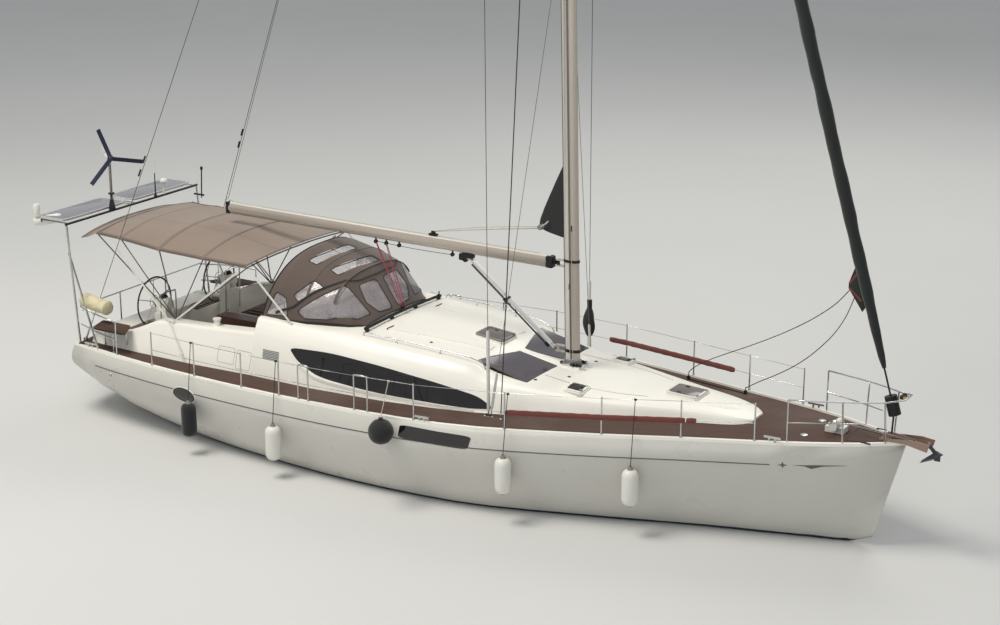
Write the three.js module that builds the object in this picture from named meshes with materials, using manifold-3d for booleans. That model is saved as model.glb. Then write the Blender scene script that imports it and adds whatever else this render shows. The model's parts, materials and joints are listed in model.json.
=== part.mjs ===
// A fifty-foot cruising sailing yacht with a deck saloon, in millimetres.
// +X is towards the bow, +Y to port and +Z up. The origin is on the centreline, at the
// waterline, halfway between the ends of the hull.
import * as THREE from "three";
import { mergeVertices } from "three/addons/utils/BufferGeometryUtils.js";
import Module from "manifold-3d";

const wasm = await Module();
wasm.setup();

// Driving dimensions
const GAP = 0.3; // between pieces that rest on each other
const STERN = -7150; // deck edge of the transom
const BOW = 7500; // stem head
const CAMBER = 0.04; // rise of the deck at the centre, as a share of the half beam
const DRAUGHT = 2150;
const MAST_FOOT = new THREE.Vector3(1920, 0, 2005);
const MAST_HEAD = new THREE.Vector3(1450, 0, 21600);
const MAST_DEPTH = 270; // fore and aft
const MAST_WIDTH = 160;
const FORESTAY_FOOT = new THREE.Vector3(7290, 0, 2190);
const BOOM_PIN = new THREE.Vector3(1640, 0, 3650); // gooseneck, the axis of the boom's swing
const BOOM_END_X = -4950;
const BOOM_RISE = 0.011; // slope of the boom, rising aft
const VANG_LOW = new THREE.Vector3(1640, 0, 2230);
const VANG_HIGH = new THREE.Vector3(-20, 0, 3500);
const RUDDER_X = -5350;
const SHAFT_SLOPE = 0.14; // the propeller shaft runs down aft
const PROPELLER = new THREE.Vector3(-4560, 0, -740);
const SHAFT = 17; // radii of what turns in a bore, and how much wider each bore is
const STOCK = 44;
const BORE_PLAY = 0.6;
const ROUND = 32; // sides of what turns in a bore and of the bore
const WHEEL_X = -5980;
const WHEEL_Y = 900;
const WHEEL_Z = 2060;
const WHEEL_RADIUS = 440;
const ARCH_X = -7180;
const ARCH_Z = 3500;
const WIND_PIVOT = new THREE.Vector3(-7195, -560, 4400);
const WIND_YAW = THREE.MathUtils.degToRad(-37); // where the nose of the generator points

// Hull: x at the sheer, half beam, sheer height, keel-line height, rake, side power, floor power
const HULL = [
  [-7150, 1790, 1320, 600, 0.5, 3.2, 2.4],
  [-6200, 1965, 1320, 90, 0.2, 2.8, 2.3],
  [-4800, 2150, 1328, -240, 0.05, 2.6, 2.3],
  [-3000, 2290, 1348, -470, 0, 2.6, 2.3],
  [-1000, 2345, 1385, -615, 0, 2.6, 2.3],
  [1000, 2240, 1440, -640, 0, 2.4, 2.2],
  [2800, 1790, 1508, -570, 0.03, 2.1, 2.0],
  [4500, 1270, 1590, -430, 0.1, 1.8, 1.8],
  [6000, 800, 1655, -250, 0.18, 1.6, 1.7],
  [7000, 370, 1690, -60, 0.24, 1.5, 1.6],
  [7500, 45, 1705, 140, 0.27, 1.3, 1.4],
];
// Coachroof: x, foot half width, side top half width and height, edge half width and height, centre
const ROOF = [
  [-3300, 1700, 1560, 2060, 1340, 2350, 2410],
  [-2000, 1775, 1590, 2060, 1330, 2320, 2370],
  [-600, 1760, 1570, 2010, 1300, 2260, 2310],
  [300, 1690, 1500, 1950, 1240, 2190, 2250],
  [800, 1620, 1430, 1890, 1190, 2120, 2180],
  [1000, 1590, 1390, 1850, 1160, 2020, 2080],
  [1900, 1380, 1200, 1790, 1000, 1920, 1970],
  [3000, 1020, 900, 1780, 720, 1870, 1910],
  [4000, 680, 590, 1790, 430, 1840, 1870],
  [4700, 470, 380, 1760, 260, 1800, 1820],
  [5020, 280, 200, 1700, 130, 1735, 1745],
  [5150, 90, 60, 1675, 30, 1684, 1686],
];
// Cockpit coaming: x, foot half width, top half width, top height
const COAMING = [
  [-3304, 1700, 1480, 2070],
  [-4500, 1700, 1460, 1990],
  [-5450, 1660, 1430, 1925],
  [-5900, 1640, 1420, 1740],
  [-6350, 1610, 1420, 1570],
  [-6950, 1560, 1400, 1550],
];
const COCKPIT_AFT = -6450;
const SOLE_Z = 1080;
const SEAT_Z = 1560;
const HULL_SPACING = 620; // between the hull's sections
const ROOF_WALL = 40;

// Smooth value of one column of a table at x
function column(table, index, x) {
  let i = 0;
  while (i < table.length - 2 && Math.sign(table[1][0] - table[0][0]) * (x - table[i + 1][0]) > 0) {
    i += 1;
  }
  const slope = (k) => {
    const a = table[Math.max(k - 1, 0)];
    const b = table[Math.min(k + 1, table.length - 1)];
    return (b[index] - a[index]) / (b[0] - a[0]);
  };
  const [low, high] = [table[i], table[i + 1]];
  const span = high[0] - low[0];
  const t = THREE.MathUtils.clamp((x - low[0]) / span, 0, 1);
  const bend = t * (1 - t);
  return (
    THREE.MathUtils.lerp(low[index], high[index], t * t * (3 - 2 * t)) +
    span * bend * ((1 - t) * slope(i) - t * slope(i + 1))
  );
}
const rowAt = (table, x) => table[0].map((_, i) => (i ? column(table, i, x) : x));
const halfBeam = (x) => column(HULL, 1, x);
const sheer = (x) => column(HULL, 2, x);
function deckHeight(x, y) {
  const b = halfBeam(x);
  return sheer(x) + CAMBER * b * (1 - (y / b) ** 2);
}

// Solids
function solid(geometry) {
  const bare = geometry.index ? geometry.clone() : geometry;
  bare.deleteAttribute("normal");
  bare.deleteAttribute("uv");
  const merged = mergeVertices(bare, 1e-3);
  const made = new wasm.Manifold(
    new wasm.Mesh({
      numProp: 3,
      vertProperties: new Float32Array(merged.attributes.position.array),
      triVerts: new Uint32Array(merged.index.array),
    }),
  );
  return made;
}
function join(parts) {
  return parts.reduce((sum, next) => sum.add(next));
}
function cut(body, tools) {
  return tools.reduce((left, tool) => left.subtract(tool), body);
}
function shifted(body, x, y, z) {
  return body.translate([x, y, z]);
}
function mirrored(body) {
  return body.mirror([0, 1, 0]);
}
function mesh(name, body, material) {
  const data = body.getMesh();
  const points = new Float32Array(data.numVert * 3);
  for (let i = 0; i < data.numVert; i += 1) {
    const from = i * data.numProp;
    points.set(data.vertProperties.subarray(from, from + 3), i * 3);
  }
  const geometry = new THREE.BufferGeometry();
  geometry.setAttribute("position", new THREE.BufferAttribute(points, 3));
  geometry.setIndex(new THREE.BufferAttribute(new Uint32Array(data.triVerts), 1));
  geometry.computeVertexNormals();
  const made = new THREE.Mesh(geometry, material);
  made.name = name;
  return made;
}
// Triangles of a ring's flat end: a fan round its middle point, or for a thin bent plate a strip
// between its outer and inner edge
function fanEnd(count, middle) {
  return Array.from({ length: count }, (_, i) => [(i + 1) % count, i, middle]);
}
function stripEnd(count) {
  return Array.from({ length: count / 2 - 1 }, (_, i) => {
    const [inner, across] = [count - 1 - i, count - 2 - i];
    return [
      [i + 1, i, across],
      [across, i, inner],
    ];
  }).flat();
}
// Closed body through rings of the same number of points
function loft(rings, plate = false) {
  const count = rings[0].length;
  const last = (rings.length - 1) * count;
  const points = rings.flat();
  const faces = [];
  for (let r = 0; r < rings.length - 1; r += 1) {
    for (let i = 0; i < count; i += 1) {
      const [a, b] = [r * count + i, r * count + ((i + 1) % count)];
      faces.push(a, b, b + count, a, b + count, a + count);
    }
  }
  for (const start of [0, last]) {
    const ring = points.slice(start, start + count);
    const middle = ring.reduce((sum, p) => sum.add(p), new THREE.Vector3()).divideScalar(count);
    const end = plate ? stripEnd(count) : fanEnd(count, points.length - start);
    if (!plate) points.push(middle);
    for (const [a, b, c] of end) {
      const turned = start === 0 ? [a, b, c] : [b, a, c];
      faces.push(...turned.map((corner) => corner + start));
    }
  }
  const geometry = new THREE.BufferGeometry().setFromPoints(points);
  geometry.setIndex(faces);
  const made = solid(geometry);
  if (made.volume() > 0) return made;
  for (let i = 0; i < faces.length; i += 3) {
    [faces[i + 1], faces[i + 2]] = [faces[i + 2], faces[i + 1]];
  }
  geometry.setIndex(faces);
  return solid(geometry);
}
function box(x0, x1, y0, y1, z0, z1) {
  const geometry = new THREE.BoxGeometry(x1 - x0, y1 - y0, z1 - z0);
  geometry.translate((x0 + x1) / 2, (y0 + y1) / 2, (z0 + z1) / 2);
  return solid(geometry);
}
const UP = new THREE.Vector3(0, 1, 0);
function bar(from, to, radius, sides = 8, endRadius = radius) {
  const way = to.clone().sub(from);
  const geometry = new THREE.CylinderGeometry(endRadius, radius, way.length(), sides);
  const turn = new THREE.Quaternion().setFromUnitVectors(UP, way.clone().normalize());
  geometry.applyQuaternion(turn);
  geometry.translate(...from.clone().add(to).multiplyScalar(0.5).toArray());
  return solid(geometry);
}
function ball(centre, radius, sides = 8) {
  const geometry = new THREE.SphereGeometry(radius, sides, Math.max(4, sides / 2));
  return solid(geometry.translate(centre.x, centre.y, centre.z));
}
function vec(x, y, z) {
  return new THREE.Vector3(x, y, z);
}
// Bent pipe with straight runs and a ball at each sharp knee
const SHARP = THREE.MathUtils.degToRad(30);
function pipe(points, radius, sides = 6) {
  const parts = points.slice(1).map((p, i) => bar(points[i], p, radius, sides));
  points.slice(1, -1).forEach((p, i) => {
    const bend = p.clone().sub(points[i]).angleTo(points[i + 2].clone().sub(p));
    if (bend > SHARP) parts.push(ball(p, radius * 1.02, sides));
  });
  return join(parts);
}
// Tube along a smooth curve
function tube(points, radius, sides, steps) {
  const ring = [];
  for (let i = 0; i < sides; i += 1) {
    const angle = (i / sides) * 2 * Math.PI;
    ring.push(new THREE.Vector2(radius * Math.cos(angle), radius * Math.sin(angle)));
  }
  const path = new THREE.CatmullRomCurve3(points);
  return solid(
    new THREE.ExtrudeGeometry(new THREE.Shape(ring), { steps, extrudePath: path, curveSegments: 1 }),
  );
}
// Turned body on a vertical axis from radius and height pairs, placed at x, y, z
function turned(profile, sides, x, y, z) {
  const points = profile.map(([radius, height]) => new THREE.Vector2(radius, height));
  const geometry = new THREE.LatheGeometry(points, sides);
  geometry.rotateX(Math.PI / 2);
  geometry.translate(x, y, z);
  return solid(geometry);
}
// Prism from an outline of [a, b] pairs, standing along one axis between two values
function prism(outline, axis, low, high) {
  const shape = new THREE.Shape(outline.map(([a, b]) => new THREE.Vector2(a, b)));
  const geometry = new THREE.ExtrudeGeometry(shape, { depth: high - low, bevelEnabled: false });
  if (axis === "y") {
    geometry.rotateX(Math.PI / 2);
    geometry.translate(0, high, 0);
  } else if (axis === "x") {
    geometry.rotateX(Math.PI / 2);
    geometry.rotateZ(Math.PI / 2);
    geometry.translate(low, 0, 0);
  } else {
    geometry.translate(0, 0, low);
  }
  return solid(geometry);
}
function steps(low, high, spacing) {
  const count = Math.ceil((high - low) / spacing);
  return Array.from({ length: count + 1 }, (_, i) => low + ((high - low) * i) / count);
}

// Materials
function finish(color, roughness, metalness = 0) {
  return new THREE.MeshStandardMaterial({ color, roughness, metalness });
}
const gelcoat = finish(0xc4c2ba, 0.3);
const deckWhite = finish(0xf2f0e4, 0.45);
const teak = finish(0x69503f, 0.75);
const tinted = finish(0x2a2629, 0.12);
const steel = finish(0xbfc0c0, 0.25, 1);
const alloy = finish(0xbdb3a6, 0.4, 0.6);
const antifoul = finish(0x20242c, 0.8);
const bronze = finish(0x9a7b45, 0.35, 1);
const iron = finish(0x33363a, 0.6, 0.4);
const canvas = finish(0x96877a, 0.9);
const hoodCanvas = finish(0x5f524b, 0.9);
const blackCloth = finish(0x121816, 0.85);
const panelGlass = finish(0x55555f, 0.2);
const whitePlastic = finish(0xe4e2da, 0.4);
const rubber = finish(0x17181a, 0.7);
const navyPlastic = finish(0x1c2340, 0.4);

// Hull sections, each a ring from the port deck edge round the keel line and over the deck
function hullRing(x) {
  const [, b, top, floor, rake, side, bottom] = rowAt(HULL, x);
  const half = [];
  const count = 9;
  for (let i = 0; i < count; i += 1) {
    const t = ((i / (count - 0.001)) * Math.PI) / 2;
    half.push([b * Math.cos(t) ** (2 / side), top - (top - floor) * Math.sin(t) ** (2 / bottom)]);
  }
  const crown = [0.75, 0.4].map((share) => [share * b, deckHeight(x, share * b)]);
  const place = ([y, z]) => vec(x - rake * (top - Math.min(z, top)), y, z);
  return [
    ...half.map(place),
    place([0, floor]),
    ...half.toReversed().map(([y, z]) => place([-y, z])),
    ...crown.map(([y, z]) => place([-y, z])),
    place([0, deckHeight(x, 0)]),
    ...crown.toReversed().map(place),
  ];
}
const SECTIONS = steps(STERN, BOW, HULL_SPACING);
const hullBody = loft(SECTIONS.map(hullRing));
const aboveHull = shifted(hullBody, 0, 0, GAP);
const belowHull = shifted(hullBody, 0, 0, -GAP);

// Side outline of the yacht's long saloon window, in x and z
const SALOON_WINDOW = [
  [-2560, 1985],
  [-1700, 2025],
  [-700, 1965],
  [300, 1850],
  [1000, 1730],
  [1330, 1560],
  [900, 1530],
  [-900, 1545],
  [-1900, 1610],
  [-2350, 1790],
];
// Roof panes beside the mast, in x and y, for the port side
const ROOF_PANE = [
  [960, 1040],
  [1040, 60],
  [1690, 60],
  [1590, 1040],
];
// Hatches: name, x, y, length, width, and which end the hinge is on
const HATCHES = [
  ["saloon_hatch", 470, 0, 560, 500],
  ["fore_hatch", 3950, 0, 560, 520],
  ["cabin_hatch_starboard", 2430, -800, 330, 330],
  ["cabin_hatch_port", 2430, 800, 330, 330],
];
const HATCH_LID = 26;
const HATCH_RIM = 22;

// Roof height at x, y, between the centre and the edge
function roofHeight(x, y) {
  const [edge, edgeZ, centre] = [column(ROOF, 4, x), column(ROOF, 5, x), column(ROOF, 6, x)];
  const share = Math.min(Math.abs(y) / edge, 1);
  return centre - (centre - edgeZ) * share ** 2;
}
function roofRing(x, inset, drop, floor) {
  const [, foot, side, sideZ, edge, edgeZ, centre] = rowAt(ROOF, x);
  const base = floor ?? sheer(x) - 30;
  const shoulder = (edgeZ - sideZ) * 0.35;
  const half = [
    [foot - inset, base],
    [side - inset, sideZ - drop],
    [(side + edge) / 2 + 25 - inset, edgeZ - shoulder - drop],
    [edge - inset, edgeZ - drop],
    [edge * 0.5, roofHeight(x, edge * 0.5) - drop],
  ].map(([y, z]) => [Math.max(y, 4), z]);
  return [
    ...half.map(([y, z]) => vec(x, y, z)),
    vec(x, 0, centre - drop),
    ...half.toReversed().map(([y, z]) => vec(x, -y, z)),
  ];
}
const roofOuter = loft(ROOF.map(([x]) => roofRing(x, 0, 0)));
const roofInner = loft(
  [-3260, -2000, -600, 300, 800, 1000, 1900, 3000, 4000, 4500].map((x) =>
    roofRing(x, ROOF_WALL, ROOF_WALL, sheer(x) - 200),
  ),
);
function roofBox([, x, y, length, width], grow, low, high) {
  const z = roofHeight(x, y);
  const tilt = Math.atan2(roofHeight(x + 100, y) - roofHeight(x - 100, y), 200);
  const roll = Math.atan2(roofHeight(x, y + 60) - roofHeight(x, y - 60), 120);
  const geometry = new THREE.BoxGeometry(length + 2 * grow, width + 2 * grow, high - low);
  geometry.translate(0, 0, (low + high) / 2);
  geometry.rotateX(roll);
  geometry.rotateY(-tilt);
  geometry.translate(x, y, z);
  return solid(geometry);
}
const RAIL_FEET = [-700, 100];
// Grab rail along the roof's edge, its three feet let into the roof
function grabRail() {
  const top = steps(-1280, 950, 570).map((x) =>
    vec(x, column(ROOF, 4, x) - 60, roofHeight(x, 0) + 15),
  );
  const feet = RAIL_FEET.map((x) => {
    const y = column(ROOF, 4, x) - 60;
    return bar(vec(x + 60, y, roofHeight(x, y) - 20), vec(x + 60, y, roofHeight(x, 0) + 15), 10, 6);
  });
  const ends = [top[0], top.at(-1)].map((p) => bar(vec(p.x, p.y, p.z - 90), p, 10, 6));
  return join([pipe(top, 11, 6), ...feet, ...ends]);
}
const WINCH = [
  [0, -60],
  [72, -60],
  [72, 15],
  [52, 40],
  [50, 105],
  [68, 130],
  [68, 150],
  [0, 150],
];
function winch(x, y, z, size) {
  return turned(WINCH.map(([r, h]) => [r * size, h * size]), 12, x, y, z);
}
function traveller() {
  const x = -1330;
  const track = [-1110, -500, 0, 500, 1110].map((y) => vec(x, y, roofHeight(x, y) + 55));
  const feet = [-1080, -360, 360, 1080].map((y) =>
    box(x - 30, x + 30, y - 30, y + 30, 2230, 2380),
  );
  return join([pipe(track, 24, 8), ...feet]);
}
function mastStep() {
  return box(1740, 2100, -130, 130, 1880, MAST_FOOT.z - GAP);
}
const WINDOW_CUT = prism(SALOON_WINDOW, "y", 1000, 2200);
const PANE_CUT = prism(ROOF_PANE, "z", 1700, 2400);
const SLIDE_CUT = box(-3400, -2560, -330, 330, 2200, 2600);
const DOOR_CUT = box(-3400, -3200, -300, 300, 1560, 2600);
function coachroof() {
  const hatches = HATCHES.map((row) => roofBox(row, -70, -200, 200));
  const rims = HATCHES.map((row) => roofBox(row, 0, -45, HATCH_RIM));
  const shell = roofOuter.subtract(roofInner);
  const top = join([shell, mastStep(), grabRail(), mirrored(grabRail())]);
  const winches = [-1000, 1000].map((y) => winch(-2150, y, 2360, 0.85));
  const fitted = join([top, ...rims, traveller(), ...winches]);
  return cut(fitted, [
    ...hatches,
    WINDOW_CUT,
    mirrored(WINDOW_CUT),
    PANE_CUT,
    mirrored(PANE_CUT),
    SLIDE_CUT,
    DOOR_CUT,
    aboveHull,
  ]);
}
// A pane is the roof's own outer skin inside the opening, 12 mm thick
function pane(opening) {
  const skin = loft(ROOF.map(([x]) => roofRing(x, 12, 12, sheer(x) - 60)));
  return roofOuter.subtract(skin).intersect(opening);
}
// Prism of an outline drawn in to its middle by a share
function shrunkPrism(outline, axis, low, high, share) {
  const middle = [0, 1].map((i) => outline.reduce((sum, p) => sum + p[i], 0) / outline.length);
  const moved = outline.map((p) => p.map((value, i) => middle[i] + (value - middle[i]) * share));
  return prism(moved, axis, low, high);
}
function hatchLid(row) {
  return roofBox(row, -12, HATCH_RIM + GAP, HATCH_RIM + GAP + HATCH_LID);
}
function slidingHatch() {
  const x0 = -3299;
  const ring = (x) => [
    vec(x, 345, roofHeight(x, 345) - 20),
    vec(x, 345, roofHeight(x, 0) + 40),
    vec(x, 0, roofHeight(x, 0) + 52),
    vec(x, -345, roofHeight(x, 0) + 40),
    vec(x, -345, roofHeight(x, 345) - 20),
    vec(x, 0, roofHeight(x, 0) + 14),
  ];
  return loft([x0, -2900, -2520].map(ring)).subtract(shifted(roofOuter, 0, 0, GAP));
}
function washboard() {
  return box(-3299, -3275, -299.7, 299.7, 1560 + GAP, 2330);
}

// Hull with its hollow under the coachroof, the cockpit's space, rudder tube and stern tube
const CABIN_FLOOR = -240;
const CABIN_WELL = [
  [-2900, 1330],
  [-600, 1400],
  [1300, 1270],
  [3000, 760],
  [4400, 330],
];
const WELL_FLOOR_SHARE = 0.8;
function cabinWell() {
  const ring = (z, share) => {
    const port = CABIN_WELL.map(([x, y]) => vec(x, y * share, z));
    return [...port, ...port.toReversed().map((p) => vec(p.x, -p.y, p.z))];
  };
  return loft([ring(CABIN_FLOOR, WELL_FLOOR_SHARE), ring(500, 1), ring(2200, 1)]);
}
const shaftAlong = (x) => vec(x, 0, PROPELLER.z + (x - PROPELLER.x) * SHAFT_SLOPE);
function hull() {
  const cockpitSpace = box(COCKPIT_AFT - 25, -3290, -1290, 1290, SOLE_Z - 40, 2000);
  const rudderTube = bar(vec(RUDDER_X, 0, -600), vec(RUDDER_X, 0, 380), STOCK + BORE_PLAY, ROUND);
  const sternTube = alongShaft(-4400, -2950, SHAFT + BORE_PLAY, ROUND);
  return cut(hullBody, [cabinWell(), cockpitSpace, rudderTube, sternTube]);
}
function plankRing(x, half, low, high) {
  const port = [1, 0.75, 0.4].map((share) => share * half);
  const top = [...port, 0, ...port.toReversed().map((y) => -y)];
  return [
    ...top.map((y) => vec(x, y, deckHeight(x, y) + high)),
    ...top.toReversed().map((y) => vec(x, y, deckHeight(x, y) + low)),
  ];
}
const RAIL_WIDTH = 55;
const RAIL_HEIGHT = 48;
function toeRail() {
  const sections = [STERN + 3, ...SECTIONS.slice(1, -1), BOW - 3];
  const outer = loft(sections.map((x) => plankRing(x, halfBeam(x) - 2, GAP, RAIL_HEIGHT)), true);
  const inside = [STERN - 100, ...SECTIONS.slice(1, -1), BOW - 90];
  const half = (x) => Math.max(halfBeam(x) - RAIL_WIDTH, 5);
  const inner = loft(inside.map((x) => plankRing(x, half(x), -40, 120)), true);
  const ring = cut(outer, [inner, aboveHull]);
  const cleats = CLEATS.map(cleat);
  return join([ring, ...cleats, ...cleats.map(mirrored)]);
}
// Mooring cleats on the cap: x only, the same on both sides
const CLEATS = [-6700, 500, 5750];
const CLEAT_HEIGHT = 95;
function cleat(x) {
  const y = halfBeam(x) - 28;
  const z = sheer(x) + 40;
  const top = z + CLEAT_HEIGHT - 12;
  const posts = [x - 45, x + 45].map((at) => box(at - 13, at + 13, y - 13, y + 13, z, top - 8));
  return join([box(x - 130, x + 130, y - 14, y + 14, top - 28, top), ...posts]);
}
const DECK_THICK = 14;
function teakDeck() {
  const sections = [STERN + 40, ...SECTIONS.slice(1, -1), BOW - 110];
  const half = (x) => Math.max(halfBeam(x) - RAIL_WIDTH - 4, 8);
  const plate = loft(sections.map((x) => plankRing(x, half(x), GAP, DECK_THICK)), true);
  const roofFoot = ROOF.map(([x, y]) => [x, y + 4]);
  const aftFoot = COAMING.map(([x, y]) => [x, y + 4]).toReversed();
  aftFoot[0][0] -= 4;
  const port = [...aftFoot, ...roofFoot.slice(1)];
  const outline = [...port, ...port.toReversed().map(([x, y]) => [x, -y])];
  outline.splice(port.length, 0, [5160, 0]);
  return cut(plate, [prism(outline, "z", 1000, 2600), aboveHull]);
}

// Cockpit moulding: coamings, seats, sole, wheel pedestals and winches
function coamingRing(x) {
  const [, foot, top, topZ] = rowAt(COAMING, x);
  const base = SOLE_Z - 40 + GAP;
  return [
    vec(x, 1289.7, base),
    vec(x, 1289.7, sheer(x) - 20),
    vec(x, foot, sheer(x) - 20),
    vec(x, top + 20, topZ - 60),
    vec(x, top - 30, topZ),
    vec(x, -top + 30, topZ),
    vec(x, -top - 20, topZ - 60),
    vec(x, -foot, sheer(x) - 20),
    vec(x, -1289.7, sheer(x) - 20),
    vec(x, -1289.7, base),
  ];
}
function pedestal(side) {
  const y = side * WHEEL_Y;
  const lower = box(WHEEL_X + 60, WHEEL_X + 300, y - 130, y + 130, SOLE_Z - 20, 1900);
  const upper = box(WHEEL_X + 80, WHEEL_X + 280, y - 90, y + 90, 1880, WHEEL_Z);
  const head = bar(vec(WHEEL_X + 22, y, WHEEL_Z), vec(WHEEL_X + 320, y, WHEEL_Z), 90, 12);
  return join([lower, upper, head]);
}
function cockpit() {
  const sections = [-3304, -4500, -5000, -5450, -5700, -5900, -6100, -6350, -6950];
  const shape = loft(sections.map(coamingRing));
  const sole = box(-5350, -3360, -620, 620, SOLE_Z, 2600);
  const seats = box(-5350, -3360, -1240, 1240, SEAT_Z, 2600);
  const helm = box(COCKPIT_AFT, -5350, -1240, 1240, SOLE_Z, 2600);
  const well = cut(shape, [sole, seats, helm, DOOR_CUT]);
  const helmSeat = join([
    box(COCKPIT_AFT - 20, -6250, -1260, -520, SOLE_Z - 10, 1500),
    box(COCKPIT_AFT - 20, -6250, 520, 1260, SOLE_Z - 10, 1500),
  ]);
  const winches = [-1, 1].map((side) => winch(-4250, side * 1350, 1985, 1.1));
  return cut(join([well, helmSeat, pedestal(1), pedestal(-1), ...winches]), [
    aboveHull.subtract(box(COCKPIT_AFT - 24.7, -3200, -1289.8, 1289.8, 1000, 2500)),
  ]);
}
function cockpitTable() {
  const x = -4700;
  const body = box(x - 560, x + 560, -105, 105, SOLE_Z + GAP, 1700);
  const leaves = [-118, 118].map((y) => box(x - 540, x + 540, y - 14, y + 14, 1330, 1725));
  return join([body, box(x - 560, x + 560, -130, 130, 1690, 1730), ...leaves]);
}
function wheel(side) {
  const y = side * WHEEL_Y;
  const centre = vec(WHEEL_X - 40, y, WHEEL_Z);
  const rim = new THREE.TorusGeometry(WHEEL_RADIUS, 15, 6, 24);
  rim.rotateY(Math.PI / 2);
  rim.translate(...centre.toArray());
  const spokes = [0, 1, 2, 3, 4].map((i) => {
    const angle = (i / 5) * 2 * Math.PI;
    const way = vec(0, Math.sin(angle), Math.cos(angle)).multiplyScalar(WHEEL_RADIUS);
    return bar(centre, way.add(centre), 8, 6);
  });
  const hub = bar(vec(WHEEL_X - 75, y, WHEEL_Z), vec(WHEEL_X + 22 - GAP, y, WHEEL_Z), 42, 12);
  return join([solid(rim), ...spokes, hub]);
}

// Underwater gear
function foilRing(x, z, chord, thick) {
  const outline = [
    [0.5, 0],
    [0.42, 0.6],
    [0.25, 0.95],
    [0.02, 1],
    [-0.25, 0.6],
    [-0.5, 0.05],
  ];
  const back = outline.slice(1).toReversed();
  return [
    ...outline.map(([a, b]) => vec(x + a * chord, (b * thick) / 2, z)),
    ...back.map(([a, b]) => vec(x + a * chord, (-b * thick) / 2, z)),
  ];
}
const BULB_Z = -1990;
function keel() {
  const fin = loft([
    foilRing(450, -500, 2150, 260),
    foilRing(380, -1200, 1800, 210),
    foilRing(300, -1950, 1600, 180),
  ]);
  const bulbRings = [
    [1450, 20],
    [1250, 150],
    [800, 230],
    [200, 240],
    [-400, 190],
    [-900, 60],
  ].map(([x, half]) => {
    const ring = [];
    for (let i = 0; i < 12; i += 1) {
      const angle = (i / 12) * 2 * Math.PI;
      const z = Math.max(BULB_Z + Math.sin(angle) * half * 0.85, -DRAUGHT);
      ring.push(vec(x, Math.cos(angle) * half, z));
    }
    return ring;
  });
  return join([fin, loft(bulbRings)]).subtract(belowHull);
}
function rudder() {
  const blade = loft([
    foilRing(RUDDER_X - 170, -225, 760, 130),
    foilRing(RUDDER_X - 150, -1000, 640, 110),
    foilRing(RUDDER_X - 130, -1750, 480, 70),
  ]);
  return join([blade, bar(vec(RUDDER_X, 0, -300), vec(RUDDER_X, 0, 360), STOCK, ROUND)]);
}
function alongShaft(x0, x1, radius, sides) {
  return bar(shaftAlong(x0), shaftAlong(x1), radius, sides);
}
function propeller() {
  const blades = [0, 1, 2].map((i) => {
    const geometry = new THREE.CylinderGeometry(92, 40, 190, 8);
    geometry.scale(1, 1, 0.12);
    geometry.rotateY(THREE.MathUtils.degToRad(50));
    geometry.translate(0, 135, 0);
    geometry.rotateX((i / 3) * 2 * Math.PI);
    geometry.rotateY(-Math.atan(SHAFT_SLOPE));
    geometry.translate(PROPELLER.x, PROPELLER.y, PROPELLER.z);
    return solid(geometry);
  });
  const hub = alongShaft(PROPELLER.x - 75, PROPELLER.x + 60, 48, 12);
  return join([alongShaft(PROPELLER.x - 60, -3050, SHAFT, ROUND), hub, ...blades]);
}
function shaftStrut() {
  const x = -4330;
  const barrel = alongShaft(x - 80, x + 80, 44, 16);
  const arm = loft([foilRing(x, shaftAlong(x).z + 20, 130, 34), foilRing(x, -180, 160, 40)]);
  return cut(join([barrel, arm]), [alongShaft(x - 200, x + 200, SHAFT + BORE_PLAY, ROUND), belowHull]);
}
function engine() {
  return box(-2750, -1800, -310, 310, CABIN_FLOOR + GAP, 430);
}

// Rig
const MAST_LENGTH = MAST_HEAD.distanceTo(MAST_FOOT);
const MAST_LEAN = (MAST_HEAD.x - MAST_FOOT.x) / (MAST_HEAD.z - MAST_FOOT.z);
const rigAt = (z) => MAST_FOOT.x + MAST_LEAN * (z - MAST_FOOT.z);
// Spreaders: height, half span, how far their tips lie aft of the mast
const SPREADERS = [
  [9300, 1640, 450],
  [15400, 1150, 320],
];
const CHAINPLATE = vec(1330, 1640, 1440);
function mast() {
  const oval = new THREE.Shape();
  oval.absellipse(0, 0, MAST_DEPTH / 2, MAST_WIDTH / 2, 0, 2 * Math.PI);
  const options = { depth: MAST_LENGTH, bevelEnabled: false, curveSegments: 4 };
  const tubeBody = new THREE.ExtrudeGeometry(oval, options);
  tubeBody.rotateY(Math.atan(MAST_LEAN));
  tubeBody.translate(...MAST_FOOT.toArray());
  const arms = SPREADERS.flatMap(([z, half, aft]) =>
    [-1, 1].map((side) => bar(vec(rigAt(z), 0, z), vec(rigAt(z) - aft, side * half, z + 60), 55, 6, 26)),
  );
  const crane = box(MAST_HEAD.x - 260, MAST_HEAD.x + 190, -35, 35, MAST_HEAD.z - 60, MAST_HEAD.z + 60);
  const lugs = [BOOM_PIN.z, VANG_LOW.z].flatMap((z) =>
    [-48, 48].map((dz) => box(BOOM_PIN.x - 30, rigAt(z) - 60, -32, 32, z + dz - 10, z + dz + 10)),
  );
  const below = box(1500, 2300, -200, 200, 1900, MAST_FOOT.z);
  return join([solid(tubeBody), ...arms, crane, ...lugs]).subtract(below);
}
const BOOM_ROOT = vec(BOOM_PIN.x - 68, 0, BOOM_PIN.z); // the boom's lifting pin
const VANG_ROOT = vec(VANG_LOW.x - 60, 0, VANG_LOW.z); // the vang's lower pin
function crossPin(at, half, radius) {
  return bar(vec(at.x, at.y - half, at.z), vec(at.x, at.y + half, at.z), radius, 12);
}
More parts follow.
